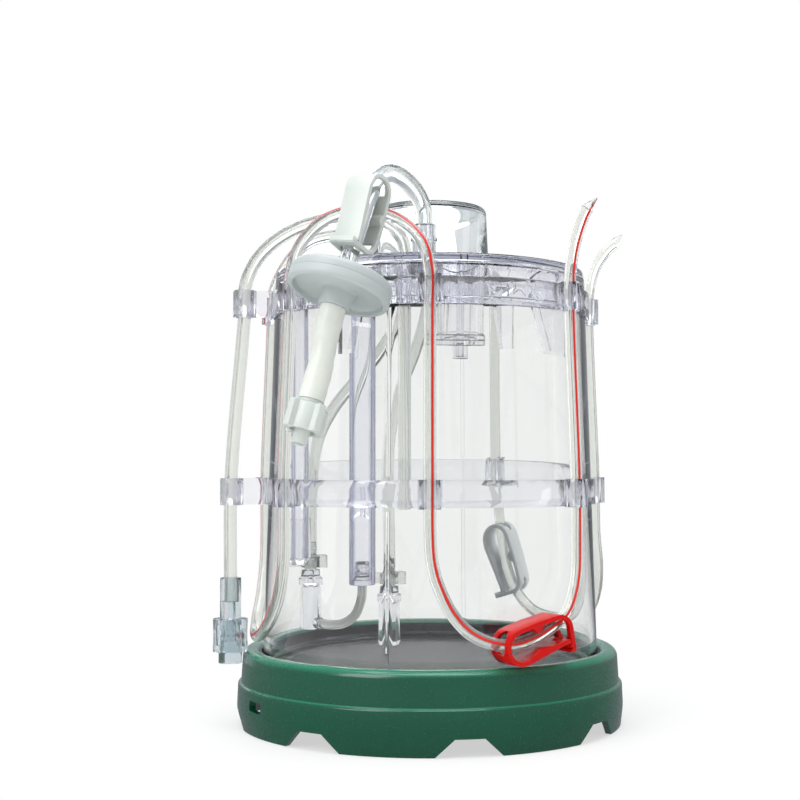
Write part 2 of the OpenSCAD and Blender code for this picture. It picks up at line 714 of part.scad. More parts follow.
// Slot along X for a tube, round at both ends, from one height to another
module tube_slot(r, low, high, length) {
    for (z = [low, high]) translate([0, 0, z]) rotate([0, 90, 0]) cylinder(r = r, h = length, $fn = 32);
    translate([0, -r, low]) cube([length, 2 * r, high - low]);
}

// Pinch clamp on the X axis: hinge end at -X, latch end at +X, arms above and below
module pinch_clamp(tube_r) {
    l = clamp_l / 2 - clamp_t / 2;
    h = clamp_h / 2 - clamp_t / 2;
    hinge = h - 0.6;
    latch = 5;
    tooth = tube_r + 0.8;
    rise = h - tube_r - clamp_t / 2 - 0.15;   // the lower arm climbs towards the latch, clear of the tube
    path = concat(
        [[l - 1.2, -h + rise + 0.1], [l - 4, -h + rise], [-l + hinge + 2, -h]],
        arc([-l + hinge, -h + hinge], hinge, 270, 90, 10),
        [[-l + hinge + 3, h - 0.9], [0, h - 0.3]],
        arc([l - latch, h - latch], latch, 90, 0, 6),
        [[l, -h + 1], [l, -h - 0.6]]
    );
    difference() {
        rotate([90, 0, 0]) {
            linear_extrude(clamp_w, center = true) polygon(strip(path, clamp_t));
            linear_extrude(clamp_w - 0.4, center = true)
                polygon([[-4, h], [3.4, h], [0.8, tooth], [-0.8, tooth]]);
            linear_extrude(clamp_w - 0.4, center = true)
                polygon([[-l + hinge, -h], [l - 4, -h + rise], [0.8, -tooth], [-0.8, -tooth]]);
            for (z = [-h - 1, -h + rise - clamp_t - 0.6]) translate([l - 1.6, z])
                linear_extrude(clamp_w - 0.4, center = true) square([2, 1.2]);
        }
        translate([-l - 2, 0, 0]) tube_slot(tube_r + clamp_slack, 0.6, 2.8, 7);
        translate([l - 5.4, 0, 0]) tube_slot(tube_r + clamp_slack, 0, 4.4, 9);
    }
}

module red_clamp() {
    color("#e8201a") translate([39.8, -67.4, 42.6]) rotate([0, 0, 32]) rotate([0, -10, 0]) pinch_clamp(line_r);
}

module white_clamp() {
    color("#e6eaec") translate([37.9, 68.5, 60]) rotate([0, 0, -28]) rotate([0, 74, 0]) pinch_clamp(line_r);
}

// Places its children on the filter's axis
module on_filter() {
    translate(filter_at) rotate([0, filter_tilt, filter_heading]) children();
}

module vent_clamp() {
    color("#fbfbfa") on_filter() translate([0, 0, vent_clamp_at]) rotate([0, 0, 15]) rotate([0, 90, 0])
        pinch_clamp(vent_d / 2);
}

module vent_spigot() {
    color("#e4eaee", 0.45) difference() {
        union() {
            post(vent_port, spigot_r, lid_z, lid_z + spigot_h);
            post(vent_port, spigot_r + 2, lid_z, lid_z + 1.6);
            post(vent_port, spigot_r + 0.6, lid_z + 8, lid_z + 9.5);
        }
        post(vent_port, port_bore, lid_z - 1, lid_z + spigot_h + 1);
    }
}

module vent_hose() {
    color("#b9c2be", 0.6) swept(vent_route, vent_d / 2, 12);
}

module filter_upper() {
    color("#eef1f2") on_filter() rotate_extrude($fn = 96) polygon(concat(
        [[0, membrane_t / 2], [filter_r - 1.5, membrane_t / 2], [filter_r - 1.5, 0], [filter_r, 0]],
        arc([filter_r - 2.4, filter_t / 2 - 2.4], 2.4, 0, 80, 6),
        [[hub_up_r + 2, filter_t / 2 + 0.7], [hub_up_r, filter_t / 2 + 1.4], [hub_up_r - 0.4, filter_t / 2 + hub_up],
         [0, filter_t / 2 + hub_up]]
    ));
}

module filter_membrane() {
    color("#f6f6f2") on_filter() cylinder(r = filter_r - 1.6, h = membrane_t, center = true, $fn = 96);
}

module filter_lower() {
    color("#e9ecee") on_filter() mirror([0, 0, 1]) rotate_extrude($fn = 96) polygon(concat(
        [[0, membrane_t / 2], [filter_r - 1.5, membrane_t / 2], [filter_r - 1.5, 0], [filter_r, 0]],
        arc([filter_r - 1.6, filter_t / 2 - 1.6], 1.6, 0, 90, 6),
        [[filter_r - 2.2, filter_t / 2], [filter_r - 2.6, filter_t / 2 - filter_lip],
         [filter_hub_r + 0.3, filter_t / 2 - filter_lip + 0.4], [filter_hub_r, filter_t / 2 + hub_down],
         [0, filter_t / 2 + hub_down]]
    ));
}

module filter_sleeve() {
    color("#f2f3ee") swept(sleeve_route, sleeve_d / 2, 12);
}

// Places its children just under the lower end of the sleeve
module under_sleeve() {
    translate(sleeve_route[len(sleeve_route) - 1]) rotate([0, sleeve_tilt, filter_heading])
        translate([0, 0, -sleeve_seat]) children();
}

// Push-on lock under the sleeve: a stem with a turning, winged ring
module lock_stem() {
    color("#f4f5f2") under_sleeve() difference() {
        union() {
            translate([0, 0, -1.5]) cylinder(r = sleeve_d / 2 - 0.4, h = 1.5);
            translate([0, 0, -lock_l]) cylinder(r = stem_r, h = lock_l);
            translate([0, 0, -9.4]) cylinder(r = stem_flange_r, h = 1.6);
        }
        translate([0, 0, -lock_l - 1]) cylinder(r = 2, h = 9);
    }
}

module lock_ring() {
    color("#fafaf8") under_sleeve() translate([0, 0, -1.7 - ring_h]) difference() {
        union() {
            cylinder(r = ring_r, h = ring_h);
            for (a = [0:90:270]) rotate([0, 0, a]) translate([0, -1.6, 0]) cube([ring_wing_r, 3.2, ring_h]);
        }
        translate([0, 0, -1]) cylinder(r = stem_r + spin_gap, h = ring_h + 2);
        translate([0, 0, -1]) cylinder(r = stem_flange_r + 0.3, h = ring_h - 1.7);
    }
}

base_stand();
seat_tray();
vessel();
lid();
dome_cup();
lower_clip_band();
upper_clip_band();
probe_well();
well_barb();
slim_well();
slim_well_tip();
sensor_cup();
sensor_stem();
stem_collar();
left_dip_fitting();
right_dip_fitting();
left_tie();
right_tie();
left_dip_hose();
right_dip_hose();
straight_dip_hose();
link_hose();
sample_line();
connector_sleeve();
connector_nut();
connector_cap();
striped_line();
rear_line();
rear_elbow();
red_clamp();
white_clamp();
vent_clamp();
vent_spigot();
vent_hose();
filter_upper();
filter_membrane();
filter_lower();
filter_sleeve();
lock_stem();
lock_ring();
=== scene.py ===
from math import cos, pi, radians, sin

import bmesh
import bpy
from mathutils import Matrix, Vector


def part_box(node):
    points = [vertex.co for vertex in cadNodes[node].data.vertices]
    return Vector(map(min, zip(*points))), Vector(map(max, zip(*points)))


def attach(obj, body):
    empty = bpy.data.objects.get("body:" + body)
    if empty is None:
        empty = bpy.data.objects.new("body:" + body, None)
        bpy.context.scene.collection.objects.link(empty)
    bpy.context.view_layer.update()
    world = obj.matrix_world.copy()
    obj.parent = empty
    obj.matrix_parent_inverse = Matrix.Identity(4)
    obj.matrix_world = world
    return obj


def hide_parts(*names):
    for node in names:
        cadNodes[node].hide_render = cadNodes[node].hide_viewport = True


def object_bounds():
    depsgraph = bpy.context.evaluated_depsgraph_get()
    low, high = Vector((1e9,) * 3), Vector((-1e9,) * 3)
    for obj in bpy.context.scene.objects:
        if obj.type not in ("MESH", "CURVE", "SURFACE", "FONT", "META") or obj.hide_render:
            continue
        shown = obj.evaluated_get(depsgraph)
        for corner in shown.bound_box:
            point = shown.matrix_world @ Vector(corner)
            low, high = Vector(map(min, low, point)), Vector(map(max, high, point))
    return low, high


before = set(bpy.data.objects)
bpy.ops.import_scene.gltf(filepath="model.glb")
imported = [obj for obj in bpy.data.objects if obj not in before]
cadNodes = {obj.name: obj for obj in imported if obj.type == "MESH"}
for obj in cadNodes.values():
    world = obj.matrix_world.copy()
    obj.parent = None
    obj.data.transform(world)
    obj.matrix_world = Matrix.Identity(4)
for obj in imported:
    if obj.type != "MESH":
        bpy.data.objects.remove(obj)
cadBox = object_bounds()
scene = bpy.context.scene
mm = 0.001


def linear(hexColour):
    channels = [int(hexColour[i:i + 2], 16) / 255 for i in (1, 3, 5)]
    return tuple(c / 12.92 if c <= 0.04045 else ((c + 0.055) / 1.055) ** 2.4 for c in channels) + (1.0,)


def addNode(owner, kind, inputs=None, **settings):
    node = owner.node_tree.nodes.new(kind)
    for name, value in settings.items():
        setattr(node, name, value)
    for socket, value in (inputs or {}).items():
        if isinstance(value, bpy.types.NodeSocket):
            owner.node_tree.links.new(value, node.inputs[socket])
        else:
            node.inputs[socket].default_value = value
    return node


def setRamp(node, stops):
    ramp = node.color_ramp
    while len(ramp.elements) < len(stops):
        ramp.elements.new(0.5)
    for element, (place, colour) in zip(ramp.elements, stops):
        element.position = place
        element.color = linear(colour)


def meshFrom(bm, name):
    mesh = bpy.data.meshes.new(name)
    bm.to_mesh(mesh)
    bm.free()
    return mesh


def newMaterial(name):
    material = bpy.data.materials.new(name)
    material.use_nodes = True
    material.node_tree.nodes.clear()
    return material


# camera and studio

studio = {
    "cameraAt": (0, -0.615, 0.1113),
    "pitchUp": 2.53,
    "lens": 63.2,
    "shiftX": -0.0375,
    "floorRadius": 3.0,
    "shadeTo": (0.085, 0.17),     # the floor's own shade fades into the backdrop between these radii
    "shadeLift": 0.6,             # how far it is lifted towards white even under the stand
    "roomLight": 0.46,
    # the room from below to above: as clear plastic bends it into view, and dimmer, as gloss mirrors it
    "roomThrough": [(0, "#ffffff"), (0.3, "#fdfdfe"), (0.55, "#b6bac4"), (1, "#9da1ae")],
    "roomMirrored": [(0, "#a4a8ac"), (0.25, "#b4b7bb"), (0.6, "#8f939b"), (1, "#a9adb4")],
}
lamps = {                          # place, aim, width, height, watts, whether gloss mirrors it
    "key": ((-0.85, -0.9, 0.95), (0, 0, 0.1), 0.7, 0.9, 8.6, True),
    "overhead": ((0.0, -0.2, 1.3), (0, 0, 0.05), 1.1, 0.9, 12.5, True),
    "edge": ((1.15, -0.05, 0.45), (0, 0, 0.12), 0.35, 1.1, 1.8, False),
    "back": ((-0.3, 1.3, 0.8), (0, 0, 0.1), 0.9, 0.7, 3.6, True),
}


def makeCamera():
    data = bpy.data.cameras.new("camera")
    data.lens = studio["lens"]
    data.shift_x = studio["shiftX"]
    camera = bpy.data.objects.new("camera", data)
    camera.location = studio["cameraAt"]
    camera.rotation_euler = (radians(90 + studio["pitchUp"]), 0, 0)
    scene.collection.objects.link(camera)
    scene.camera = camera


def reflectedRays(owner, path):
    return addNode(owner, "ShaderNodeMath", {
        0: path.outputs["Is Glossy Ray"], 1: path.outputs["Is Transmission Ray"]},
        operation="SUBTRACT", use_clamp=True).outputs[0]     # rays through clear plastic count as both


def makeWorld():
    world = bpy.data.worlds.new("studio")
    world.use_nodes = True
    world.node_tree.nodes.clear()
    scene.world = world
    path = addNode(world, "ShaderNodeLightPath")
    way = addNode(world, "ShaderNodeTexCoord").outputs["Generated"]
    height = addNode(world, "ShaderNodeSeparateXYZ", {0: way}).outputs["Z"]
    through = addNode(world, "ShaderNodeValToRGB", {"Fac": height})
    setRamp(through, studio["roomThrough"])
    mirrored = addNode(world, "ShaderNodeValToRGB", {"Fac": height})
    setRamp(mirrored, studio["roomMirrored"])
    bent = addNode(world, "ShaderNodeMix", {
        0: reflectedRays(world, path), 6: through.outputs[0], 7: mirrored.outputs[0]}, data_type="RGBA")
    seen = addNode(world, "ShaderNodeMix", {
        0: path.outputs["Is Camera Ray"], 6: bent.outputs[2], 7: (1, 1, 1, 1)}, data_type="RGBA")
    sky = addNode(world, "ShaderNodeBackground", {"Color": seen.outputs[2]})
    room = addNode(world, "ShaderNodeBackground", {
        "Color": linear("#fbfcff"), "Strength": studio["roomLight"]})        # what lights matt surfaces
    either = addNode(world, "ShaderNodeMath", {
        0: path.outputs["Is Camera Ray"], 1: path.outputs["Is Glossy Ray"]}, operation="MAXIMUM")
    shown = addNode(world, "ShaderNodeMath", {
        0: either.outputs[0], 1: path.outputs["Is Transmission Ray"]}, operation="MAXIMUM")
    both = addNode(world, "ShaderNodeMixShader", {
        0: shown.outputs[0], 1: room.outputs[0], 2: sky.outputs[0]})
    addNode(world, "ShaderNodeOutputWorld", {"Surface": both.outputs[0]})


def makeFloor():
    # painted plywood: matt white paint, rolled on, with no gloss and a faint orange peel
    floor = newMaterial("paintedPlywoodFloor")
    coords = addNode(floor, "ShaderNodeTexCoord").outputs["Object"]
    peel = addNode(floor, "ShaderNodeTexNoise", {"Vector": coords, "Scale": 1 / (4 * mm)})
    bump = addNode(floor, "ShaderNodeBump", {
        "Height": peel.outputs[0], "Strength": 0.05, "Distance": 0.2 * mm})
    paint = addNode(floor, "ShaderNodeBsdfPrincipled", {
        "Base Color": linear("#f7f7f6"), "Roughness": 0.75, "Normal": bump.outputs[0]})
    path = addNode(floor, "ShaderNodeLightPath")
    reach = addNode(floor, "ShaderNodeVectorMath", {0: coords}, operation="LENGTH")
    near, far = studio["shadeTo"]
    fade = addNode(floor, "ShaderNodeMapRange", {
        "Value": reach.outputs["Value"], "From Min": near, "From Max": far, "To Min": studio["shadeLift"]},
        interpolation_type="SMOOTHSTEP")
    direct = addNode(floor, "ShaderNodeMath", {
        0: path.outputs["Is Camera Ray"], 1: path.outputs["Is Transmission Ray"]}, operation="MAXIMUM")
    amount = addNode(floor, "ShaderNodeMath", {
        0: fade.outputs[0], 1: direct.outputs[0]}, operation="MULTIPLY")
    white = addNode(floor, "ShaderNodeEmission", {"Color": (1, 1, 1, 1)})
    mixed = addNode(floor, "ShaderNodeMixShader", {
        0: amount.outputs[0], 1: paint.outputs[0], 2: white.outputs[0]})
    dim = addNode(floor, "ShaderNodeEmission", {"Color": linear("#8e9196")})        # in reflections
    shown = addNode(floor, "ShaderNodeMixShader", {
        0: reflectedRays(floor, path), 1: mixed.outputs[0], 2: dim.outputs[0]})
    addNode(floor, "ShaderNodeOutputMaterial", {"Surface": shown.outputs[0]})

    bm = bmesh.new()
    bmesh.ops.create_circle(bm, cap_ends=True, radius=studio["floorRadius"], segments=96)
    bmesh.ops.translate(bm, verts=bm.verts, vec=(0, 0, cadBox[0].z - 0.1 * mm))
    mesh = meshFrom(bm, "floor")
    mesh.materials.append(floor)
    plane = bpy.data.objects.new("floor", mesh)
    scene.collection.objects.link(plane)


def makeLamps():
    for name, (place, aim, width, height, watts, mirrored) in lamps.items():
        data = bpy.data.lights.new(name, "AREA")
        data.shape = "RECTANGLE"
        data.size = width
        data.size_y = height
        data.energy = watts
        lamp = bpy.data.objects.new(name, data)
        lamp.location = place
        lamp.visible_glossy = mirrored
        lamp.rotation_euler = (Vector(aim) - Vector(place)).to_track_quat("-Z", "Y").to_euler()
        scene.collection.objects.link(lamp)


def makeStudio():
    scene.view_settings.view_transform = "Standard"
    cycles = scene.cycles
    cycles.max_bounces = 32            # tubes inside tubes inside the vessel
    cycles.transmission_bounces = 32
    cycles.transparent_max_bounces = 32
    cycles.glossy_bounces = 24         # light runs along inside the clear walls
    cycles.diffuse_bounces = 4
    cycles.caustics_reflective = False
    cycles.caustics_refractive = False
    makeCamera()
    makeWorld()
    makeFloor()
    makeLamps()
    print("studio ready")


# materials

bumpDeep = 0.1 * mm       # a bump pattern's height at full strength
hoseBump = 0.06
glossDrift = 0.05         # a moulded surface is up to this much rougher or smoother along its grain


def seeThrough(material, look, tint, bump):
    body = addNode(material, "ShaderNodeBsdfPrincipled", {
        "Base Color": tint, "Roughness": look["roughness"], "IOR": look["ior"],
        "Transmission Weight": 1 - look["haze"], "Normal": bump.outputs[0]})
    path = addNode(material, "ShaderNodeLightPath")       # a lamp's rays pass it, a little dimmed
    passed = addNode(material, "ShaderNodeBsdfTransparent", {"Color": linear(look["shade"])})
    return addNode(material, "ShaderNodeMixShader", {
        0: path.outputs["Is Shadow Ray"], 1: body.outputs[0], 2: passed.outputs[0]})


def clearPlastic(name, look):
    material = newMaterial(name)
    coords = addNode(material, "ShaderNodeTexCoord").outputs["Object"]
    flow = addNode(material, "ShaderNodeTexNoise", {"Vector": coords, "Scale": 1 / (look["flowMm"] * mm)})
    bump = addNode(material, "ShaderNodeBump", {
        "Height": flow.outputs[0], "Strength": look["flow"], "Distance": bumpDeep})
    tint = linear(look["tint"])
    if "edge" in look:                   # seen along its wall, the plastic shows its own colour
        facing = addNode(material, "ShaderNodeLayerWeight", {"Blend": 0.5}).outputs["Facing"]
        begins, full = look["edgeFrom"]
        along = addNode(material, "ShaderNodeMapRange", {
            "Value": facing, "From Min": begins, "From Max": full})
        tint = addNode(material, "ShaderNodeMix", {
            0: along.outputs[0], 6: tint, 7: linear(look["edge"])}, data_type="RGBA").outputs[2]
    shader = seeThrough(material, look, tint, bump)
    absorb = addNode(material, "ShaderNodeVolumeAbsorption", {
        "Color": linear(look["depth"]), "Density": look["density"]})
    addNode(material, "ShaderNodeOutputMaterial", {"Surface": shader.outputs[0], "Volume": absorb.outputs[0]})
    return material


def hosePlastic(name, look, stripe=None):
    material = newMaterial(name)
    coords = addNode(material, "ShaderNodeTexCoord").outputs["Object"]
    cloud = addNode(material, "ShaderNodeTexNoise", {"Vector": coords, "Scale": 1 / (look["cloudMm"] * mm)})
    bump = addNode(material, "ShaderNodeBump", {
        "Height": cloud.outputs[0], "Strength": hoseBump, "Distance": bumpDeep})
    shader = seeThrough(material, look, linear(look["tint"]), bump)
    if stripe:                           # lie says where a point sits on the hose's round: X is 1 at its side
        lie = addNode(material, "ShaderNodeAttribute", attribute_name="lie")
        across = addNode(material, "ShaderNodeSeparateXYZ", {0: lie.outputs["Vector"]})
        edge = cos(stripe["width"] / 2 / stripe["radius"])
        mask = addNode(material, "ShaderNodeMapRange", {
            "Value": across.outputs["X"],
            "From Min": edge - stripe["blur"], "From Max": edge + stripe["blur"]})
        ink = addNode(material, "ShaderNodeBsdfPrincipled", {
            "Base Color": linear(stripe["colour"]), "Roughness": stripe["roughness"],
            "Normal": bump.outputs[0]})
        shader = addNode(material, "ShaderNodeMixShader", {
            0: mask.outputs[0], 1: shader.outputs[0], 2: ink.outputs[0]})
    addNode(material, "ShaderNodeOutputMaterial", {"Surface": shader.outputs[0]})
    return material


def mouldedPlastic(name, look):
    material = newMaterial(name)
    coords = addNode(material, "ShaderNodeTexCoord").outputs["Object"]
    drift = addNode(material, "ShaderNodeTexNoise", {"Vector": coords, "Scale": 1 / (look["driftMm"] * mm)})
    surfaceColour = addNode(material, "ShaderNodeMix", {
        0: drift.outputs[0], 6: linear(look["dark"]), 7: linear(look["light"])}, data_type="RGBA").outputs[2]
    height = addNode(material, "ShaderNodeSeparateXYZ", {0: coords}).outputs["Z"]
    for middle, half, soft, paintedLightColour in look.get("paintedLightBands", ()):      # painted light: a lighter or darker colour around a height, in mm, standing in for a highlight or shade
        off = addNode(material, "ShaderNodeMath", {0: height, 1: middle * mm}, operation="SUBTRACT")
        gap = addNode(material, "ShaderNodeMath", {0: off.outputs[0]}, operation="ABSOLUTE")
        amount = addNode(material, "ShaderNodeMapRange", {
            "Value": gap.outputs[0], "From Min": (half + soft) * mm, "From Max": half * mm})
        surfaceColour = addNode(material, "ShaderNodeMix", {
            0: amount.outputs[0], 6: surfaceColour, 7: linear(paintedLightColour)}, data_type="RGBA").outputs[2]
    grain = addNode(material, "ShaderNodeTexNoise", {
        "Vector": coords, "Scale": 1 / (look["grainMm"] * mm), "Detail": 4.0})
    gloss = addNode(material, "ShaderNodeMapRange", {
        "Value": grain.outputs[0],
        "To Min": look["gloss"] - glossDrift, "To Max": look["gloss"] + glossDrift})
    bump = addNode(material, "ShaderNodeBump", {
        "Height": grain.outputs[0], "Strength": look["grain"], "Distance": bumpDeep})
    body = addNode(material, "ShaderNodeBsdfPrincipled", {
        "Base Color": surfaceColour, "Roughness": gloss.outputs[0], "IOR": look["ior"],
        "Coat Weight": look.get("coat", 0.0), "Coat Roughness": 0.1,
        "Subsurface Weight": look.get("soft", 0.0), "Subsurface Scale": 2 * mm,
        "Subsurface Radius": (1.0, 1.0, 1.0), "Normal": bump.outputs[0]})
    addNode(material, "ShaderNodeOutputMaterial", {"Surface": body.outputs[0]})
    return material


clearLooks = {
    # polystyrene, injection moulded: very clear, high index, faint grey-lavender where it is seen edge on
    "polystyreneVessel": {
        "tint": "#f9faf9", "roughness": 0.005, "ior": 1.55, "haze": 0.0, "flowMm": 25, "flow": 0.015,
        "shade": "#f8f9fa", "depth": "#c4c8d0", "density": 9},
    # its floor lies flat on the tray and is a little frosted from the mould, so it hardly mirrors
    "frostedVesselFloor": {
        "tint": "#f4f5f5", "roughness": 0.22, "ior": 1.12, "haze": 0.02, "flowMm": 12, "flow": 0.05,
        "shade": "#f8f9fa", "depth": "#c4c8d0", "density": 14},
    "polystyreneLid": {
        "tint": "#fbfbfd", "roughness": 0.005, "ior": 1.57, "haze": 0.0, "flowMm": 9, "flow": 0.03,
        "shade": "#f5f5f9", "depth": "#b4b8cc", "density": 12},
    # the dome cup is thicker, a touch green along its sides
    "polystyreneDome": {
        "tint": "#f3f5f6", "roughness": 0.005, "ior": 1.57, "haze": 0.0, "flowMm": 9, "flow": 0.02,
        "shade": "#f2f5f4", "depth": "#a4b4b1", "density": 18, "edge": "#a9bbb6", "edgeFrom": (0.55, 0.9)},
    # polycarbonate, injection moulded: clear with a lavender cast
    "polycarbonateBand": {
        "tint": "#fafafd", "roughness": 0.01, "ior": 1.58, "haze": 0.01, "flowMm": 12, "flow": 0.03,
        "shade": "#ececf2", "depth": "#9ca0ba", "density": 34},
    # the small fittings are polystyrene too, more tinted because they are thick for their size
    "polystyreneFitting": {
        "tint": "#fbfbfd", "roughness": 0.01, "ior": 1.57, "haze": 0.0, "flowMm": 5, "flow": 0.04,
        "shade": "#eff0f4", "depth": "#9ca0b8", "density": 30},
    # the wells are drawn in a bluer grade, dark along their edges
    "polystyreneWell": {
        "tint": "#fafafd", "roughness": 0.01, "ior": 1.57, "haze": 0.0, "flowMm": 12, "flow": 0.02,
        "shade": "#eff0f4", "depth": "#8085a6", "density": 25, "edge": "#787da3", "edgeFrom": (0.15, 0.5)},
    # tinted acrylic, moulded: smoky blue-grey
    "smokyAcrylic": {
        "tint": "#f0f6f8", "roughness": 0.02, "ior": 1.49, "haze": 0.06, "flowMm": 6, "flow": 0.05,
        "shade": "#d5e0e5", "depth": "#7fa0ae", "density": 45},
    # natural nylon, moulded: cloudy
    "naturalNylon": {
        "tint": "#fafbf8", "roughness": 0.12, "ior": 1.53, "haze": 0.12, "flowMm": 4, "flow": 0.05,
        "shade": "#ecedea", "depth": "#c9ccc6", "density": 40},
}
hoseLooks = {
    # extruded thermoplastic elastomer: clear and a little milky, with a soft gloss
    "elastomerHose": {
        "tint": "#fafbf8", "roughness": 0.05, "ior": 1.42, "haze": 0.08, "cloudMm": 5, "shade": "#f0f1ec"},
    # extruded soft vinyl: clearer and glossier
    "vinylHose": {
        "tint": "#fafcfb", "roughness": 0.02, "ior": 1.47, "haze": 0.02, "cloudMm": 3, "shade": "#f0f2f1"},
    # extruded silicone: milky
    "siliconeHose": {
        "tint": "#fdfefb", "roughness": 0.08, "ior": 1.41, "haze": 0.3, "cloudMm": 4, "shade": "#f0f1ed"},
}
mouldedLooks = {
    # ABS, moulded in a lightly blasted tool: satin, with a grain drawn as coarse as it needs to show, and
    # painted paler on the crest and the ledge: a painted highlight where light from above falls
    "absStand": {
        "dark": "#094a34", "light": "#0f563e", "driftMm": 60, "grainMm": 0.9, "grain": 0.05,
        "gloss": 0.26, "ior": 1.46, "coat": 0.4,
        # painted highlight: a paler green around the ledge and the crest
        "paintedLightBands": ((18.15, 0.15, 0.3, "#2d8265"), (40, 8.6, 1.8, "#2b8466"))},
    # glass-filled polypropylene: grey and matt, with its wall painted dark navy as painted shade
    "polypropyleneTray": {
        "dark": "#565252", "light": "#646060", "driftMm": 40, "grainMm": 0.8, "grain": 0.03, "gloss": 0.5,
        # painted shade: the wall above the floor is painted dark navy
        "ior": 1.4, "paintedLightBands": ((30, 6.85, 0.1, "#1c202c"),)},
    # acetal, moulded: slippery, even colour, soft gloss
    "redAcetal": {
        "dark": "#c40402", "light": "#d60604", "driftMm": 20, "grainMm": 3, "grain": 0.01, "gloss": 0.38,
        "ior": 1.33},
    "whiteAcetal": {
        "dark": "#cad1cc", "light": "#d7ddd8", "driftMm": 20, "grainMm": 0.7, "grain": 0.04,
        "gloss": 0.32, "ior": 1.48, "soft": 0.1},
    # the same acetal painted lighter, making up for the shade it sits in behind the vessel's walls; light
    # spreads inside it
    "paintedLighterAcetal": {
        "dark": "#eaefef", "light": "#f4f7f7", "driftMm": 20, "grainMm": 0.7, "grain": 0.04, "gloss": 0.3,
        "ior": 1.48, "soft": 0.5},
    # polypropylene filter shell: matt, cool white
    "polypropyleneFilter": {
        "dark": "#b3bbbb", "light": "#c0c7c7", "driftMm": 30, "grainMm": 0.8, "grain": 0.15,
        "gloss": 0.42, "ior": 1.49, "soft": 0.05},
    # platinum-cured silicone: milky, soft, light spreads inside it
    "milkySilicone": {
        "dark": "#dbe0d8", "light": "#eaede5", "driftMm": 6, "grainMm": 1.5, "grain": 0.12, "gloss": 0.3,
        "ior": 1.41, "soft": 0.5},
    # cast membrane: chalky
    "castMembrane": {
        "dark": "#eceae2", "light": "#f7f6f0", "driftMm": 4, "grainMm": 0.5, "grain": 0.3, "gloss": 0.8,
        "ior": 1.4},
}
stripeInk = {"width": 1.2 * mm, "radius": 2.5 * mm, "blur": 0.006, "colour": "#d9261f", "roughness": 0.35}

makeStudio()
surfaces = {name: clearPlastic(name, look) for name, look in clearLooks.items()}
for name, look in hoseLooks.items():
    surfaces[name] = hosePlastic(name, look)
surfaces["printedElastomerHose"] = hosePlastic("printedElastomerHose", hoseLooks["elastomerHose"], stripeInk)
for name, look in mouldedLooks.items():
    surfaces[name] = mouldedPlastic(name, look)
print("materials ready")


# shapes

def coat(mesh, surface):
    mesh.materials.clear()
    mesh.materials.append(surfaces[surface])
    mesh.polygons.foreach_set("use_smooth", [True] * len(mesh.polygons))


def addMesh(name, mesh, surface, standsFor, sharp=35):
    coat(mesh, surface)
    mesh.set_sharp_from_angle(angle=radians(sharp))
    piece = bpy.data.objects.new(name, mesh)
    scene.collection.objects.link(piece)
    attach(piece, "reactor")
    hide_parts(standsFor)
    return piece


def addPiece(name, bm, surface, standsFor, sharp=35):
    return addMesh(name, meshFrom(bm, name), surface, standsFor, sharp)


def turned(profile, steps, place=Matrix.Identity(4)):
    # each corner of the profile is its radius, its height and, where it is rounded, the round's size
    bm = bmesh.new()
    corners = [bm.verts.new((point[0] * mm, 0, point[1] * mm)) for point in profile]
    for first, second in zip(corners, corners[1:] + corners[:1]):
        bm.edges.new((first, second))
    for corner, point in zip(corners, profile):
        if len(point) > 2:
            bmesh.ops.bevel(bm, geom=[corner], offset=point[2] * mm, offset_type="OFFSET", segments=4,
                            profile=0.5, affect="VERTICES", material=-1)
    onAxis = [e for e in bm.edges if all(v.co.x < 1e-7 for v in e.verts)]     # it would spin into nothing
    bmesh.ops.delete(bm, geom=onAxis, context="EDGES")
    bmesh.ops.spin(bm, geom=bm.verts[:] + bm.edges[:], cent=(0, 0, 0), axis=(0, 0, 1), angle=2 * pi,
                   steps=steps, use_merge=True)
    bmesh.ops.remove_doubles(bm, verts=bm.verts, dist=1e-6)
    bmesh.ops.recalc_face_normals(bm, faces=bm.faces)
    bmesh.ops.transform(bm, matrix=place, verts=bm.verts)
    return bm


def block(size, place, softened=0.0):
    bm = bmesh.new()
    bmesh.ops.create_cube(bm, size=1)
    bmesh.ops.scale(bm, vec=[side * mm for side in size], verts=bm.verts)
    if softened:
        bmesh.ops.bevel(bm, geom=bm.edges[:], offset=softened * mm, offset_type="OFFSET", segments=2,
                        profile=0.5, affect="EDGES", material=-1)
    bmesh.ops.transform(bm, matrix=place, verts=bm.verts)
    return bm


def plainObject(bm):
    shape = bpy.data.objects.new("shape", meshFrom(bm, "shape"))
    scene.collection.objects.link(shape)
    return shape


def combined(base, added=(), cut=()):
    body = plainObject(base)
    tools = []
    for operation, shapes in (("UNION", added), ("DIFFERENCE", cut)):
        for shape in shapes:
            tool = plainObject(shape)
            tools.append(tool)
            change = body.modifiers.new(operation, "BOOLEAN")
            change.operation = operation
            change.solver = "MANIFOLD"
            change.object = tool
    bpy.context.view_layer.update()
    mesh = bpy.data.meshes.new_from_object(body.evaluated_get(bpy.context.evaluated_depsgraph_get()))
    for shape in [body] + tools:
        bpy.data.objects.remove(shape)
    return mesh


def at(x, y, z=0.0):
    return Matrix.Translation((x * mm, y * mm, z * mm))


def turn(axis, degrees):
    return Matrix.Rotation(radians(degrees), 4, axis)


def plate(outline, thickness, place):
    bm = bmesh.new()
    face = bm.faces.new([bm.verts.new((x * mm, -thickness / 2 * mm, z * mm)) for x, z in outline])
    grown = bmesh.ops.extrude_face_region(bm, geom=[face])["geom"]
    bmesh.ops.translate(bm, vec=(0, thickness * mm, 0),
                        verts=[part for part in grown if isinstance(part, bmesh.types.BMVert)])
    bmesh.ops.recalc_face_normals(bm, faces=bm.faces)
    bmesh.ops.transform(bm, matrix=place, verts=bm.verts)
    return bm


def post(place, radius, low, high, *soft, steps=48):
    return turned([(0, low), (radius, low, *soft), (radius, high, *soft), (0, high)], steps, place)


def nodeRound(name):
    low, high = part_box(name)
    return (high.x - low.x) / 2 / mm, low.z / mm, high.z / mm         # radius, bottom and top


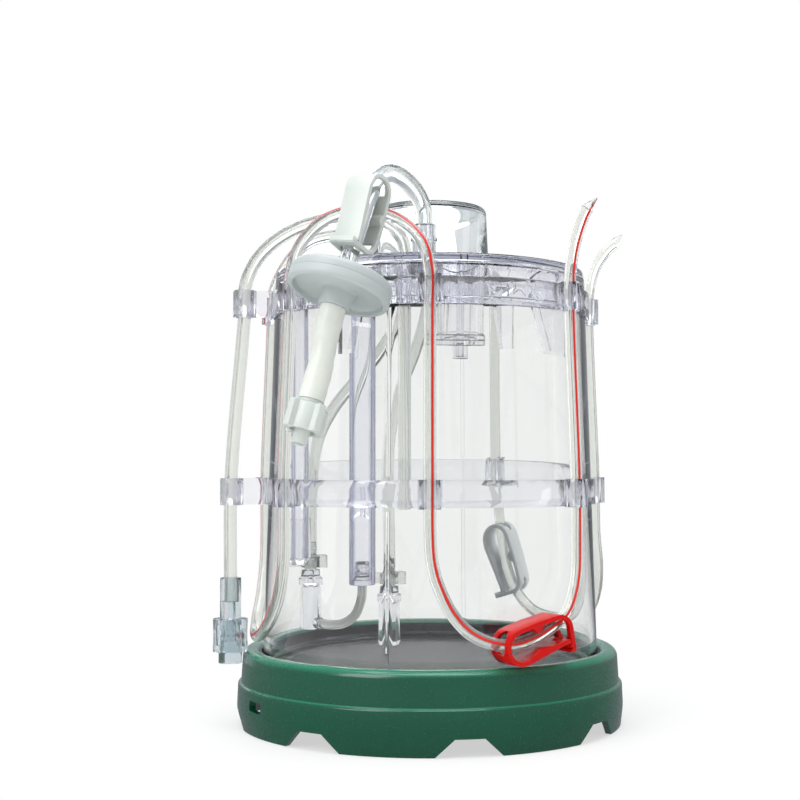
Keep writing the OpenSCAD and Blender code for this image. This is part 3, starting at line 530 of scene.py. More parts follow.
def nodeAxis(name):
    low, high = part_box(name)
    return at((low.x + high.x) / 2 / mm, (low.y + high.y) / 2 / mm)


def finishNode(name, surface, bevel, segments=2):
    node = cadNodes[name]
    coat(node.data, surface)
    weld = node.modifiers.new("weld", "WELD")
    weld.merge_threshold = 0.002 * mm
    flats = node.modifiers.new("flats", "DECIMATE")
    flats.decimate_type = "DISSOLVE"
    flats.angle_limit = radians(0.5)
    edges = node.modifiers.new("edges", "BEVEL")
    edges.width = bevel * mm
    edges.segments = segments
    edges.limit_method = "ANGLE"
    edges.angle_limit = radians(30)
    edges.harden_normals = True


# hoses

hoseStep = 1.6 * mm       # between two rings of a hose
hoseSides = 24
sealedTip = {"wide": 0.12, "wideCurve": 0.7, "thick": 0.1, "thickCurve": 1.6}      # parts of the outer radius


def inMetres(point):
    return tuple(round(side * mm, 6) for side in point)


def smoothRoute(route, step):
    points = [Vector(inMetres(point)) for point in route]
    spans = [(b - a).length for a, b in zip(points, points[1:])]
    last = len(points) - 1
    slopes = []
    for i in range(len(points)):
        low, high = max(i - 1, 0), min(i + 1, last)
        slopes.append((points[high] - points[low]) / sum(spans[low:high]))
    path = []
    for i, span in enumerate(spans):
        pieces = max(1, round(span / step))
        for j in range(pieces):                    # a cubic that keeps both ends' places and directions
            t = j / pieces
            near = points[i] * (2 * t ** 3 - 3 * t ** 2 + 1) + slopes[i] * span * (t ** 3 - 2 * t ** 2 + t)
            far = points[i + 1] * (3 * t ** 2 - 2 * t ** 3) + slopes[i + 1] * span * (t ** 3 - t ** 2)
            path.append(near + far)
    return path + [points[last]]


def framesAlong(path, side):
    frames = []
    side = Vector(side)
    last = len(path) - 1
    for i, point in enumerate(path):
        forward = (path[min(i + 1, last)] - path[max(i - 1, 0)]).normalized()
        side = (side - forward * side.dot(forward)).normalized()           # carried along without a twist
        rotation = Matrix((side, forward.cross(side), forward)).transposed().to_4x4()
        frames.append(Matrix.Translation(point) @ rotation)
    return frames


def skin(bm, rings, sides, lie, inked):            # an open tube through the rings; returns its two ends
    made = bmesh.ops.create_circle(bm, segments=sides, radius=1)["verts"]
    edges = list({edge for vert in made for edge in vert.link_edges})
    for vert in made:
        vert[lie] = (vert.co.x * inked, vert.co.y * inked, 0)
    before = Matrix.Identity(4)
    firstEdges = None
    for i, (frameAt, wide, deep) in enumerate(rings):
        shape = frameAt @ Matrix.Diagonal((wide, deep, 1, 1))
        if i:
            grown = bmesh.ops.extrude_edge_only(bm, edges=edges)["geom"]
            made = [part for part in grown if isinstance(part, bmesh.types.BMVert)]
            edges = [part for part in grown if isinstance(part, bmesh.types.BMEdge)]
        bmesh.ops.transform(bm, matrix=shape @ before.inverted(), verts=made)
        before = shape
        firstEdges = firstEdges or edges
    return firstEdges, edges


def tube(rings, lining, sides, inked=0, isSealed=False):
    bm = bmesh.new()
    lie = bm.verts.layers.float_vector.new("lie")
    firstOuter, lastOuter = skin(bm, rings, sides, lie, inked)
    firstInner, lastInner = skin(bm, lining, sides, lie, 0)       # no ink on the lining
    bmesh.ops.bridge_loops(bm, edges=firstOuter + firstInner)
    if isSealed:
        bmesh.ops.edgeloop_fill(bm, edges=lastOuter)
        bmesh.ops.edgeloop_fill(bm, edges=lastInner)
    else:
        bmesh.ops.bridge_loops(bm, edges=lastOuter + lastInner)
    bmesh.ops.recalc_face_normals(bm, faces=bm.faces)
    return bm


def addHose(name, hose, surface, standsFor):
    hose = {**usualHose, **hose}
    route = hose["route"] + ([hose["tip"]] if "tip" in hose else [])
    path = smoothRoute(route, hoseStep)
    frames = framesAlong(path, hose["side"])
    outer = hose["diameter"] / 2
    inner = hose["bore"] / 2
    lengths = [0.0]
    for a, b in zip(path, path[1:]):
        lengths.append(lengths[-1] + (b - a).length)
    total = lengths[-1]
    rings, lining = [], []
    for place, run in zip(frames, lengths):
        wide = deep = outer
        if "tip" in hose and total - run < hose["seal"]:                # pressed flat and cut to a point
            t = (total - run) / hose["seal"]
            wide *= sealedTip["wide"] + (1 - sealedTip["wide"]) * t ** sealedTip["wideCurve"]
            deep *= sealedTip["thick"] + (1 - sealedTip["thick"]) * t ** sealedTip["thickCurve"]
        else:
            lining.append((place, inner, inner))
        rings.append((place, wide, deep))
    bm = tube(rings, lining, hoseSides, 1, "tip" in hose)
    piece = addPiece(name, bm, surface, standsFor, sharp=50)


# stand, tray and vessel

stand = {
    "footR": 83.0, "taper": 1.0, "lean": 0.4, "stepZ": 18.0, "upperR": 81.2, "crestAt": (76.7, 28.3),
    "round": 4.0, "lipWide": 0.6, "lipDrop": 0.9, "lipHigh": 0.7, "openR": 73.5, "seatZ": 21.0,
    "deck": 2.5, "wall": 2.8, "notches": 8, "notchAngle": 280.6, "notchHigh": 7.0, "notchTop": 11.7,
    "notchLow": 26.8, "notchFlare": 3.8, "slotAngle": 211, "slotZ": 12.2, "slotWide": 10.7,
    "slotHigh": 4.2, "slotRound": 1.0, "notchThrough": 24, "slotThrough": 12}


def makeStand():
    foot, upper, wall, lean = stand["footR"], stand["upperR"], stand["wall"], stand["lean"]
    step, high, opening = stand["stepZ"], stand["notchHigh"], stand["openR"]
    seat, under = stand["seatZ"], stand["seatZ"] - stand["deck"]
    centreR, centreZ = stand["crestAt"]
    top = centreZ + stand["round"]
    lip = top - stand["lipDrop"]
    crest = []
    for angle in map(radians, range(10, 101, 9)):
        crest.append((centreR + stand["round"] * cos(angle), centreZ + stand["round"] * sin(angle)))
    outside = [(foot - stand["taper"], 0, 0.3), (foot, high + 1, 1.5), (foot - lean, step - 0.1, 0.9),
               (upper + 0.1, step + 0.05, 0.15)]
    well = [(opening + stand["lipWide"], lip, 0.3), (opening, lip - stand["lipHigh"]),
            (opening, seat, 0.3), (0, seat)]
    inside = [(0, under), (opening, under), (upper - wall, centreZ - 3), (upper - wall, step),
              (foot - wall - lean, step - 3), (foot - wall, high + 1), (foot - wall - stand["taper"], 0, 0.3)]
    body = turned(outside + crest + well + inside, steps=256)
    low, narrow, flare = stand["notchLow"] / 2, stand["notchTop"] / 2, stand["notchFlare"]
    notch = [(-low - flare, -1), (-low, 0), (-narrow, high), (narrow, high), (low, 0), (low + flare, -1)]
    cuts = []
    for i in range(stand["notches"]):
        around = turn("Z", stand["notchAngle"] + i * 360 / stand["notches"])
        cuts.append(plate(notch, stand["notchThrough"], around @ at(foot, 0) @ turn("Z", 90)))
    cuts.append(block((stand["slotThrough"], stand["slotWide"], stand["slotHigh"]),
                      turn("Z", stand["slotAngle"]) @ at(foot, 0, stand["slotZ"]), stand["slotRound"]))
    addMesh("standShell", combined(body, cut=cuts), "absStand", "base_stand", sharp=30)


tray = {"floor": 2.0, "wall": 0.8, "grooveIn": 62.5, "grooveOut": 67.5, "grooveDeep": 0.7}


def makeTray():
    r, low, high = nodeRound("seat_tray")
    floor = low + tray["floor"]
    inside = r - tray["wall"]
    deep = floor - tray["grooveDeep"]
    bm = turned([
        (0, low), (r, low, 0.4), (r, high, 0.25), (inside, high, 0.25), (inside, floor, 0.5),
        (tray["grooveOut"], floor, 0.2), (tray["grooveOut"], deep, 0.2), (tray["grooveIn"], deep, 0.2),
        (tray["grooveIn"], floor, 0.2), (0, floor)], steps=160)
    addPiece("seatTray", bm, "polypropyleneTray", "seat_tray")


vessel = {
    "topR": 67.6, "wall": 2.0, "floor": 2.0, "roundOut": 1.2, "roundIn": 2.5, "ribAngles": (76.6, 256.6),
    "ribThick": 1.5, "ribWide": 1.6, "ribOut": 0.5, "ribLean": -1.7,
    "ribSpans": ((33.3, 92.2), (105.5, 172.0))}


def makeVessel():
    r, low, rim = nodeRound("vessel")
    top, wall = vessel["topR"], vessel["wall"]
    slope = (r - top) / (rim - low)
    floor = low + vessel["floor"]
    body = turned([
        (0, low), (r, low, vessel["roundOut"]), (top, rim, 0.3), (top - wall, rim, 0.3),
        (r - slope * (floor - low) - wall, floor, vessel["roundIn"]), (0, floor)], steps=192)
    ribs = []
    for angle in vessel["ribAngles"]:
        for start, end in vessel["ribSpans"]:
            middle = (start + end) / 2
            out = r - slope * (middle - low) + vessel["ribOut"] - vessel["ribThick"] / 2
            ribs.append(block((vessel["ribThick"], vessel["ribWide"], end - start),
                              turn("Z", angle) @ at(out, 0, middle) @ turn("Y", vessel["ribLean"]), 0.2))
    piece = addMesh("vesselWall", combined(body, added=ribs), "polystyreneVessel", "vessel")
    piece.data.materials.append(surfaces["frostedVesselFloor"])
    for face in piece.data.polygons:
        isLevel = abs(face.normal.z) > 0.95
        if isLevel and face.center.z < (floor + 0.5) * mm:
            face.material_index = 1


# lid and dome cup

lid = {
    "rimZ": 184.5, "plateZ": 191.2, "topZ": 194.0, "rimR": 67.6, "skirtR": 65.3, "skirtWall": 2.2,
    "skirtDeep": 8, "beadR": 57.0, "beadHigh": 0.8, "ringR": 60.7, "ringHigh": 0.5, "lineZ": 4.8,
    "lineDeep": 0.7, "finAngles": (-32, 13, 53, 134, 237), "finR": 65.0, "finWide": 9, "finDeep": 37,
    "finRoot": 17.1, "finRootDeep": 12, "finThick": 2, "portLow": 178.2, "portHigh": 197.0, "collar": 1.2,
    "ports": ((-10.5, -30), (-12, 35), (-1, 31)), "ventPort": (-2.5, -40), "portR": 3.8, "portBore": 1.6,
    "probeAt": (-28.8, -15), "probeSocketR": 7.1, "probeR": 5.7, "slimAt": (-56, -10), "slimSocketR": 5.2,
    "slimR": 3.8, "slimBore": 2.7, "socketDeep": 10, "cupAt": (12.2, -45), "stemHole": 1.6, "hubR": 24.8,
    "hubWall": 1.8, "hubDeep": 8, "ribs": 24, "ribThick": 1.2, "ribR": 25.9}


def lidDisc():
    rim, under, top, edge = lid["rimZ"], lid["plateZ"], lid["topZ"], lid["rimR"]
    skirt, skirtEnd = lid["skirtR"], rim - lid["skirtDeep"]
    bead, ring, line = lid["beadR"], lid["ringR"], rim + lid["lineZ"]
    below = [(0, under), (bead - 1, under), (bead - 0.6, under - lid["beadHigh"]),
             (bead + 0.6, under - lid["beadHigh"]), (bead + 1, under), (skirt - lid["skirtWall"], under, 0.8),
             (skirt - lid["skirtWall"], skirtEnd, 0.3), (skirt, skirtEnd, 0.5), (skirt, rim)]
    side = [(edge, rim, 0.2), (edge - 0.1, line - 0.4, 0.15), (edge - lid["lineDeep"], line),
            (edge - 0.2, line + 0.4, 0.15), (edge - 0.7, top, 1.6)]
    above = [(ring + 0.9, top), (ring + 0.5, top + lid["ringHigh"]), (ring - 0.5, top + lid["ringHigh"]),
             (ring - 0.9, top), (0, top)]
    return turned(below + side + above, steps=192)


def lidHub():
    under, hub, hubEnd = lid["plateZ"], lid["hubR"], lid["plateZ"] - lid["hubDeep"]
    inside = hub - lid["hubWall"]
    shapes = [turned([(inside, under + 1), (inside, hubEnd, 0.2), (hub, hubEnd, 0.2), (hub, under + 1)],
                     steps=120)]
    for i in range(lid["ribs"]):
        around = turn("Z", i * 360 / lid["ribs"])
        shapes.append(block((lid["ribR"] - hub + 1, lid["ribThick"], lid["hubDeep"] - 0.4),
                            around @ at((hub - 1 + lid["ribR"]) / 2, 0, under - lid["hubDeep"] / 2 + 0.4)))
    return shapes


def lidFins():
    out, over, low = lid["finR"], lid["plateZ"] + 1, lid["plateZ"] - lid["finDeep"]
    waist, back = out - lid["finWide"], out - lid["finRoot"]
    outline = [(back, over), (back, over - lid["finRootDeep"]), (waist, low), (out, low), (out, over)]
    return [plate(outline, lid["finThick"], turn("Z", angle)) for angle in lid["finAngles"]]


def lidPorts():
    under, top, r = lid["plateZ"], lid["topZ"], lid["portR"]
    low, high, collar = lid["portLow"], lid["portHigh"], lid["collar"]
    profile = [(0, low), (r - 0.3, low, 0.3), (r, under - 4), (r + collar, under + 0.5),
               (r + collar - 0.2, top + 0.01), (r, top + collar), (r, high, 0.3), (0, high)]
    return [turned(profile, 48, at(*spot)) for spot in lid["ports"]]


def makeLid():
    under, top = lid["plateZ"], lid["topZ"]
    socket = under - lid["socketDeep"]
    vent, probe, slim, cup = (at(*lid[spot]) for spot in ("ventPort", "probeAt", "slimAt", "cupAt"))
    added = lidHub() + lidFins() + lidPorts()
    added.append(post(vent, lid["portR"], under - 4, top - 1, 0.3))
    added.append(post(probe, lid["probeSocketR"], socket, under + 1, 0.3))
    added.append(post(slim, lid["slimSocketR"], socket, under + 1, 0.3))
    bored = [at(*spot) for spot in lid["ports"]] + [vent, probe]
    cuts = [post(place, lid["portBore"], lid["portLow"] - 8, lid["portHigh"] + 7) for place in bored]
    cuts.append(post(probe, lid["probeR"], socket - 1, under))
    cuts.append(post(slim, lid["slimR"], socket - 1, under))
    cuts.append(post(slim, lid["slimBore"], under - 2, top + 2))
    cuts.append(post(cup, lid["stemHole"], under - 2, top + 2))
    addMesh("lidPlate", combined(lidDisc(), added, cuts), "polystyreneLid", "lid")


dome = {"wall": 2.4, "taper": 1.3, "crown": 0.8, "sag": 0.2, "roundOut": 2.4, "roundIn": 1.6}


def makeDome():
    r, low, high = nodeRound("dome_cup")
    wall, top, shoulder = dome["wall"], r - dome["taper"], high - dome["crown"]
    outside = [(r, low, 0.3), (top, shoulder, dome["roundOut"]), (top / 2, high - dome["sag"]), (0, high)]
    inside = [(0, high - wall), (top / 2, high - wall - dome["sag"]),
              (top - wall, shoulder - wall, dome["roundIn"]), (r - wall, low, 0.3)]
    addPiece("domeCup", turned(outside + inside, steps=144), "polystyreneDome", "dome_cup")


def makeBands():
    for name in ("lower_clip_band", "upper_clip_band"):
        finishNode(name, "polycarbonateBand", bevel=0.25)


# wells and cup inside the vessel

wells = {"probeWall": 1.2, "slimWall": 1.0, "tipFloor": 3.0, "tipTaper": 1.1}


def makeWells():
    for name, node, wall in (("probeWell", "probe_well", "probeWall"), ("slimWell", "slim_well", "slimWall")):
        r, low, high = nodeRound(node)
        bore = r - wells[wall]
        bm = turned([(bore, low, 0.2), (r, low, 0.3), (r, high), (bore, high)], 64, nodeAxis(node))
        addPiece(name, bm, "polystyreneWell", node)


wellBarb = {"flange": 2.0, "ridges": 3, "firstDip": 4.2, "pitch": 2.2, "narrowing": 0.1}


def makeWellBarb():
    r, low, high = nodeRound("well_barb")
    profile = [(0, low), (r, low, 0.2), (r, low + wellBarb["flange"], 0.2),
               (r - 0.5, low + wellBarb["flange"] + 0.5)]
    for i in range(wellBarb["ridges"]):
        dip, less = low + wellBarb["firstDip"] + i * wellBarb["pitch"], i * wellBarb["narrowing"]
        profile += [(r - 1.2 - less, dip), (r - 0.6 - less, dip + 0.3)]
    profile += [(r - 1.6, high, 0.2), (0, high)]
    bm = turned(profile, 48, nodeAxis("well_barb"))
    addPiece("wellBarb", bm, "polystyreneFitting", "well_barb")


def makeWellTip():
    r, low, high = nodeRound("slim_well_tip")
    bore, floor = r - wells["slimWall"], low + wells["tipFloor"]
    bm = turned([(0, low), (r - wells["tipTaper"], low, 0.6), (r, floor, 0.3), (r - 0.2, high, 0.2),
                 (bore, high), (bore, floor), (0, floor)], 64, nodeAxis("slim_well_tip"))
    addPiece("slimWellTip", bm, "polystyreneFitting", "slim_well_tip")


sensorCup = {
    "wall": 1.4, "floor": 2.0, "footOut": 0.7, "footHigh": 4.2, "fillet": 0.8, "stemPlay": 0.05,
    "stemHead": 1.6, "collarFloor": 0.9}


def makeSensorCup():
    hole = lid["stemHole"]
    rod = hole - sensorCup["stemPlay"]
    r, low, high = nodeRound("sensor_cup")
    side, floor, foot = r - sensorCup["footOut"], low + sensorCup["floor"], low + sensorCup["footHigh"]
    inside = side - sensorCup["wall"]
    bm = turned([(hole, low), (r, low, 0.6), (r, foot, 0.4), (side, foot + 0.4), (side, high), (inside, high),
                 (inside - sensorCup["fillet"], floor, sensorCup["fillet"]), (hole, floor)],
                80, nodeAxis("sensor_cup"))
    addPiece("sensorCup", bm, "polystyreneLid", "sensor_cup")
    r, low, high = nodeRound("sensor_stem")
    neck = high - sensorCup["stemHead"]
    bm = turned([(0, low), (rod, low, 0.3), (rod, neck), (r, neck, 0.2), (r, high, 0.5), (0, high)],
                48, nodeAxis("sensor_stem"))
    addPiece("sensorStem", bm, "polystyreneFitting", "sensor_stem")
    r, low, high = nodeRound("stem_collar")
    floor = low + sensorCup["collarFloor"]
    bm = turned([(0, low), (r, low, 0.4), (r, high, 0.2), (hole, high), (hole, floor), (0, floor)],
                48, nodeAxis("stem_collar"))
    addPiece("stemCollar", bm, "polystyreneFitting", "stem_collar")


# fittings on the hoses inside

fittings = {
    "length": 24.5, "radius": 4.9, "bore": 3.3, "boreDeep": 19, "throat": 1.0, "collarAt": 6.0,
    "collarHigh": 2.4, "barbLong": 11.5, "barbRoot": 1.75, "barbR": 1.5, "ridgeR": 1.95, "ridgeHigh": 0.4,
    "ridges": (4, 7.6), "left": (-52.5, 2, 38), "right": (-18, 6, 30.5), "sideAngle": -43, "sideUp": 2.6,
    "sideIn": 3.6, "sideOut": 7, "sideR": 2.4, "sideBore": 1.1}


def makeFitting(name, node, spot, hasNipple):
    r, long, place = fittings["radius"], fittings["length"], at(*spot)
    collar = long - fittings["collarAt"]
    collarTop = collar + fittings["collarHigh"]
    body = turned([
        (0, 0), (r - 0.3, 0, 0.3), (r, 2), (r - 0.4, collar - 1), (r + 0.4, collar, 0.2),
        (r + 0.4, collarTop, 0.2), (r - 0.6, collarTop + 0.6), (r - 0.9, long, 0.3), (0, long)], 48, place)
    thin, ridge, end = fittings["barbR"], fittings["ridgeR"], long + fittings["barbLong"]
    barb = [(0, long - 1), (fittings["barbRoot"], long - 1)]
    for up in fittings["ridges"]:
        barb += [(thin, long + up), (ridge, long + up + fittings["ridgeHigh"])]
    added = [turned(barb + [(thin - 0.05, end, 0.2), (0, end)], 40, place)]
    cuts = [post(place, fittings["bore"], -1, fittings["boreDeep"]),
            post(place, fittings["throat"], fittings["boreDeep"] - 1, end + 1.5)]
    if hasNipple:
        aim = place @ at(0, 0, fittings["sideUp"]) @ turn("Z", fittings["sideAngle"]) @ turn("Y", 90)
        side, start, stop = fittings["sideR"], fittings["sideIn"], fittings["sideOut"]
        added.append(turned([(0, start), (side, start), (side, stop, 0.3), (0, stop)], 40, aim))
        cuts.append(post(aim, fittings["sideBore"], 0, stop + 2, steps=32))
    return addMesh(name, combined(body, added, cuts), "polystyreneFitting", node)


def makeTies():
    for name in ("left_tie", "right_tie"):
        finishNode(name, "naturalNylon", bevel=0.2)


# spigot, elbow, vent filter

spigot = {"barrelR": 5.0, "flangeHigh": 1.6, "beadR": 5.6, "beadUp": 8.0, "beadHigh": 1.5, "taper": 0.1}


def makeSpigot():
    r, low, high = nodeRound("vent_spigot")
    bore, barrel, bead = lid["portBore"], spigot["barrelR"], spigot["beadR"]
    flange, beadLow = low + spigot["flangeHigh"], low + spigot["beadUp"]
    beadTop = beadLow + spigot["beadHigh"]
    bm = turned([
        (bore, low), (r, low, 0.2), (r, flange, 0.4), (barrel, flange, 0.3), (barrel, beadLow),
        (bead, beadLow, 0.3), (bead, beadTop, 0.3), (barrel, beadTop),
        (barrel - spigot["taper"], high, 0.5), (bore, high)],
        64, nodeAxis("vent_spigot"))
    addPiece("ventSpigot", bm, "polystyreneFitting", "vent_spigot")


elbow = {
    "port": (-1, 31), "z": 204.0, "heading": 46.6, "out": 8.7, "branchR": 2.5, "bore": 1.6, "postR": 3.8,
    "capHigh": 3.0, "capRound": 1.2}


def makeElbow():
    place, low, z, r = at(*elbow["port"]), lid["portHigh"], elbow["z"], elbow["postR"]
    top, out, bore = z + elbow["capHigh"], elbow["out"], elbow["bore"]
    aim = place @ at(0, 0, z) @ turn("Z", elbow["heading"]) @ turn("Y", 90)
    body = turned([(0, low), (r, low, 0.2), (r, top, elbow["capRound"]), (0, top)], 48, place)
    branch = turned([(0, 0), (elbow["branchR"], 0), (elbow["branchR"], out, 0.3), (0, out)], 40, aim)
    cuts = [post(place, bore, low - 1, z + bore), post(aim, bore, 0, 12, steps=32)]
    addMesh("rearElbow", combined(body, [branch], cuts), "polystyreneFitting", "rear_elbow")


ventFilter = {
    "at": (-34, -85, 178), "tilt": 21, "heading": 43, "radius": 20.0, "half": 4.2, "upperHub": 5.2,
    "lowerHub": 6.2, "hubLength": 5.0, "dish": 2.2, "lip": 1.5, "gap": 0.2, "weldR": 14.7}


def filterPlace():
    return at(*ventFilter["at"]) @ turn("Z", ventFilter["heading"]) @ turn("Y", ventFilter["tilt"])


def makeFilter():
    r, half, hub = ventFilter["radius"], ventFilter["half"], ventFilter["upperHub"]
    gap, inner, groove = ventFilter["gap"], r - ventFilter["lip"], ventFilter["weldR"]
    end = half + ventFilter["hubLength"]
    upper = turned([
        (0, gap), (inner, gap), (inner, 0), (r, 0, 0.15), (r, half, 2.2), (groove + 0.8, half + 0.22, 0.3),
        (groove + 0.5, half + 0.02, 0.2), (groove - 0.5, half + 0.06, 0.2), (groove - 0.8, half + 0.36, 0.3),
        (hub + 2, half + 0.7, 0.8), (hub, half + 1.4, 0.8), (hub - 0.4, end, 0.5), (0, end)],
        128, filterPlace())
    top = addPiece("filterUpper", upper, "polypropyleneFilter", "filter_upper")
    low, dish = ventFilter["lowerHub"], half - ventFilter["dish"]
    shell = turned([
        (0, -gap), (0, -end), (low, -end, 0.4), (low + 0.3, -dish - 0.4, 1.2), (r - 2.6, -dish, 0.8),
        (r - 2.2, -half, 0.5), (r, -half, 1.5), (r, 0, 0.15), (inner, 0), (inner, -gap)], 128, filterPlace())
    bottom = addPiece("filterLower", shell, "polypropyleneFilter", "filter_lower")
    finishNode("filter_membrane", "castMembrane", bevel=0.05)
    return [top, bottom]


sleeve = {
    "route": ((-36.4, -87.3, 169.3), (-37.2, -88, 166.5), (-38.3, -89, 161.5),
              (-39.5, -90, 154), (-41.5, -91.9, 144.5), (-44.2, -94.4, 134)),
    "radius": 4.98 * mm, "bore": 3.1 * mm, "waist": 0.55 * mm, "waistAt": 0.45, "waistReach": 0.22,
    "ripple": 0.09 * mm, "ripples": 7, "step": 0.6 * mm, "sides": 40}


def makeSleeve():
    path = smoothRoute(sleeve["route"], sleeve["step"])
    frames = framesAlong(path, (1, 0, 0))
    last = len(path) - 1
    outer, inner = [], []
    for i, place in enumerate(frames):
        along = i / last
        fromWaist = (along - sleeve["waistAt"]) / sleeve["waistReach"]
        waist = sleeve["waist"] * max(0, 1 - fromWaist ** 2)
        calm = min(1, 8 * along, 8 * (1 - along))                        # no ripples at the ends
        ripple = sleeve["ripple"] * sin(2 * pi * sleeve["ripples"] * along) * calm
        radius = sleeve["radius"] - waist + ripple
        outer.append((place, radius, radius))
        inner.append((place, sleeve["bore"], sleeve["bore"]))
    bm = tube(outer, inner, sleeve["sides"])
    return addPiece("filterSleeve", bm, "milkySilicone", "filter_sleeve", sharp=50)


def makeSmallParts():
    finishNode("red_clamp", "redAcetal", bevel=0.15)
    # the white clamp's acetal is painted lighter, standing in for light it lacks behind the vessel's walls
    finishNode("white_clamp", "paintedLighterAcetal", bevel=0.15)
    finishNode("vent_clamp", "whiteAcetal", bevel=0.15)
    for name in ("connector_sleeve", "connector_nut", "connector_cap"):
        finishNode(name, "smokyAcrylic", bevel=0.35, segments=3)
    finishNode("lock_stem", "whiteAcetal", bevel=0.2)
    finishNode("lock_ring", "whiteAcetal", bevel=0.3, segments=3)


# tubing: routes in millimetres, real lengths in metres

usualHose = {"side": (1, 0, 0), "stiffness": "medium", "lay": "hanging"}
stripedLine = {
    "route": [
        (-12, 35, 197), (-12, 35, 200), (-14, 34.5, 208), (-21, 32, 214.5), (-31, 29, 217),
        (-42, 25.5, 215.5), (-54, 21.5, 212), (-62, 19, 205), (-67, 17.5, 197), (-70.3, 16.6, 189),
        (-71.2, 16.3, 183), (-71.2, 16.3, 172), (-73.6, 16.9, 106), (-73.6, 16.9, 72), (-74.5, 12.5, 55),
        (-75.3, 0, 42.5), (-73.4, -16.8, 38), (-68, -32.8, 42.5), (-61.8, -43.6, 55), (-59, -47.1, 72),
        (-59, -47.1, 106), (-57, -45.5, 172), (-57, -45.5, 186), (-53, -47, 199), (-43, -52, 208.5),
        (-28, -59, 211.5), (-14, -65.5, 207.5), (-3, -71, 197), (0, -73, 185), (0, -73, 172),
        (0, -75.5, 106), (0.2, -75.6, 79), (1.6, -75.8, 69), (4.6, -76, 60.5), (9, -76.3, 52.5),
        (15.5, -76.6, 45.8), (24, -76, 42), (32, -72.2, 41), (40, -67.5, 43), (47, -62.6, 46.6),
        (53.2, -57.6, 51), (57, -51.8, 58.8), (58.8, -48, 68), (59.1, -47.2, 79), (59, -47.1, 106),
        (57, -45.5, 172), (57.2, -45.5, 188), (58.6, -46, 198.5), (61.2, -47.3, 207.8), (63.8, -49, 214)],
    "tip": (67.6, -51.5, 218), "seal": 6 * mm, "diameter": 5 * mm, "bore": 3 * mm,
    "side": (0.93, 0.372, 0), "length": 0.879, "farEnd": "bare", "carries": ["red_clamp"]}
rearLine = {
    "route": [
        (5, 37.5, 204), (12, 45, 204), (20, 53.2, 203), (27.5, 61.5, 197), (31.7, 65.8, 186),
        (31.7, 65.8, 172), (32.7, 68, 106), (33, 68.2, 92), (34.6, 70, 80), (36.4, 69.3, 66),
        (39.4, 67.6, 54), (44, 64.4, 44.5), (51, 59, 38), (59.5, 50.5, 36), (67, 40, 37.5),
        (72.2, 29.8, 43.5), (74.8, 22, 53), (75.2, 18, 65), (74, 17, 80), (73.6, 16.9, 106),
        (71.2, 16.3, 172), (71.6, 16.3, 187), (74.2, 16.8, 198), (79, 17.8, 205.8), (84.6, 19, 211)],
    "tip": (88.2, 20, 214.5), "seal": 6 * mm, "diameter": 5 * mm, "bore": 3 * mm, "side": (0, 0, 1),
    "length": 0.421, "farEnd": "bare", "carries": ["white_clamp"]}
sampleLine = {
    "route": [
        (-10.5, -30, 197), (-10.5, -30, 199.5), (-12, -29.7, 205), (-16.5, -29, 210), (-24, -27.8, 213.5),
        (-34, -26, 214.5), (-45, -24.2, 213.5), (-56, -22.3, 210.5), (-65.5, -20.7, 205.5),
        (-73, -19.4, 198.5), (-77.5, -18.6, 190.5), (-79.2, -18.3, 183), (-79.2, -18.3, 172),
        (-84.1, -19.4, 106), (-84.1, -19.4, 52.6)],
    "diameter": 5.5 * mm, "bore": 3.5 * mm, "length": 0.225, "farEnd": "connector",
    "carries": ["connector_sleeve", "connector_nut", "connector_cap"]}
dipHose = {"diameter": 5.4 * mm, "bore": 3.4 * mm, "farEnd": "fitting"}
leftDipHose = {
    **dipHose, "route": [
        (-12, 35, 178.2), (-12, 35, 175.5), (-13.5, 34.5, 168), (-18.5, 31.5, 160), (-26, 26, 149.5),
        (-35, 19.5, 139.5), (-43.5, 12.5, 129), (-49.3, 6.5, 117.5), (-51.8, 3, 104), (-52.5, 2, 84),
        (-52.5, 2, 62.5)],
    "length": 0.1345, "carries": ["left_tie"]}
rightDipHose = {
    **dipHose, "route": [
        (-1, 31, 178.2), (-1, 31, 175.5), (-2.5, 30, 167), (-7, 26, 153), (-12.5, 21, 139.5),
        (-16.8, 15, 124), (-18.8, 10, 107), (-18.5, 7, 91), (-18, 6, 74), (-18, 6, 55)],
    "length": 0.1294, "carries": ["right_tie"]}
straightDipHose = {
    **dipHose, "route": [(-10.5, -30, 178.2), (-10.5, -30, 150), (-10.5, -30, 120), (-10.5, -30, 90)],
    "length": 0.0882, "farEnd": "bare"}
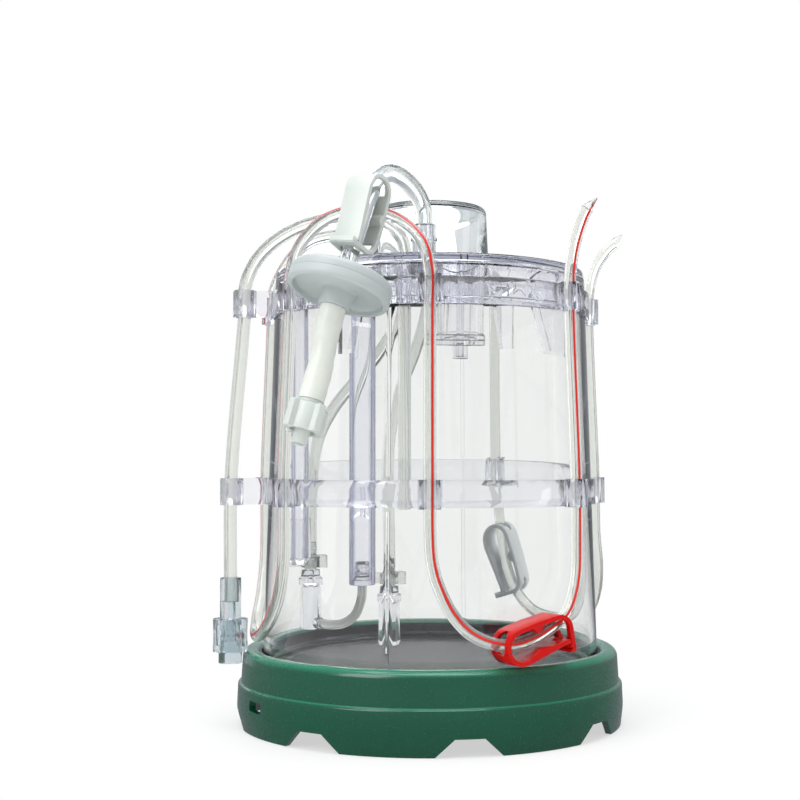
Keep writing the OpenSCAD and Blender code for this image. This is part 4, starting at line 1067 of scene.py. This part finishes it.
linkHose = {
    "route": [
        (-28.8, -15, 58), (-29.2, -14.8, 52), (-31.8, -13.6, 45.5), (-36.5, -11.2, 41.8),
        (-42, -7.6, 40.6), (-47.4, -2.8, 40.6)],
    "diameter": 4 * mm, "bore": 2 * mm, "length": 0.0335, "farEnd": "object", "lay": "loose"}
ventHose = {
    "route": [
        (-2.5, -40, 209), (-2.5, -40, 211.6), (-2.8, -40.8, 214.9), (-3.8, -42.8, 218.2),
        (-5.6, -46.3, 221.2), (-8.6, -51.6, 223.9), (-12.2, -58, 225.6), (-15.4, -63.5, 225.7),
        (-18.2, -67.9, 224), (-20.8, -71.5, 220.7), (-22.7, -74, 216.6), (-24.5, -76, 211.5),
        (-27.4, -78.9, 201.3), (-31.6, -82.8, 186.6)],
    "diameter": 7 * mm, "bore": 4.6 * mm, "length": 0.085, "farEnd": "fitting", "lay": "loose",
    "carries": ["vent_clamp", "filter_membrane", "lock_stem", "lock_ring"]}


def makeTubing():
    addHose("stripedLine", stripedLine, "printedElastomerHose", "striped_line")
    addHose("rearLine", rearLine, "elastomerHose", "rear_line")
    addHose("sampleLine", sampleLine, "elastomerHose", "sample_line")
    addHose("leftDipHose", leftDipHose, "elastomerHose", "left_dip_hose")
    addHose("rightDipHose", rightDipHose, "elastomerHose", "right_dip_hose")
    addHose("straightDipHose", straightDipHose, "elastomerHose", "straight_dip_hose")
    addHose("linkHose", linkHose, "siliconeHose", "link_hose")
    addHose("ventHose", ventHose, "vinylHose", "vent_hose")


makeStand()
makeTray()
makeVessel()
print("vessel ready")
makeLid()
makeDome()
makeBands()
print("lid ready")
makeWells()
makeWellBarb()
makeWellTip()
makeSensorCup()
leftFitting = makeFitting("leftDipFitting", "left_dip_fitting", fittings["left"], True)
rightFitting = makeFitting("rightDipFitting", "right_dip_fitting", fittings["right"], False)
makeTies()
print("wells ready")
makeSpigot()
makeElbow()
filterShells = makeFilter()
filterShells.append(makeSleeve())
makeSmallParts()
print("filter ready")
makeTubing()
print("tubing ready")
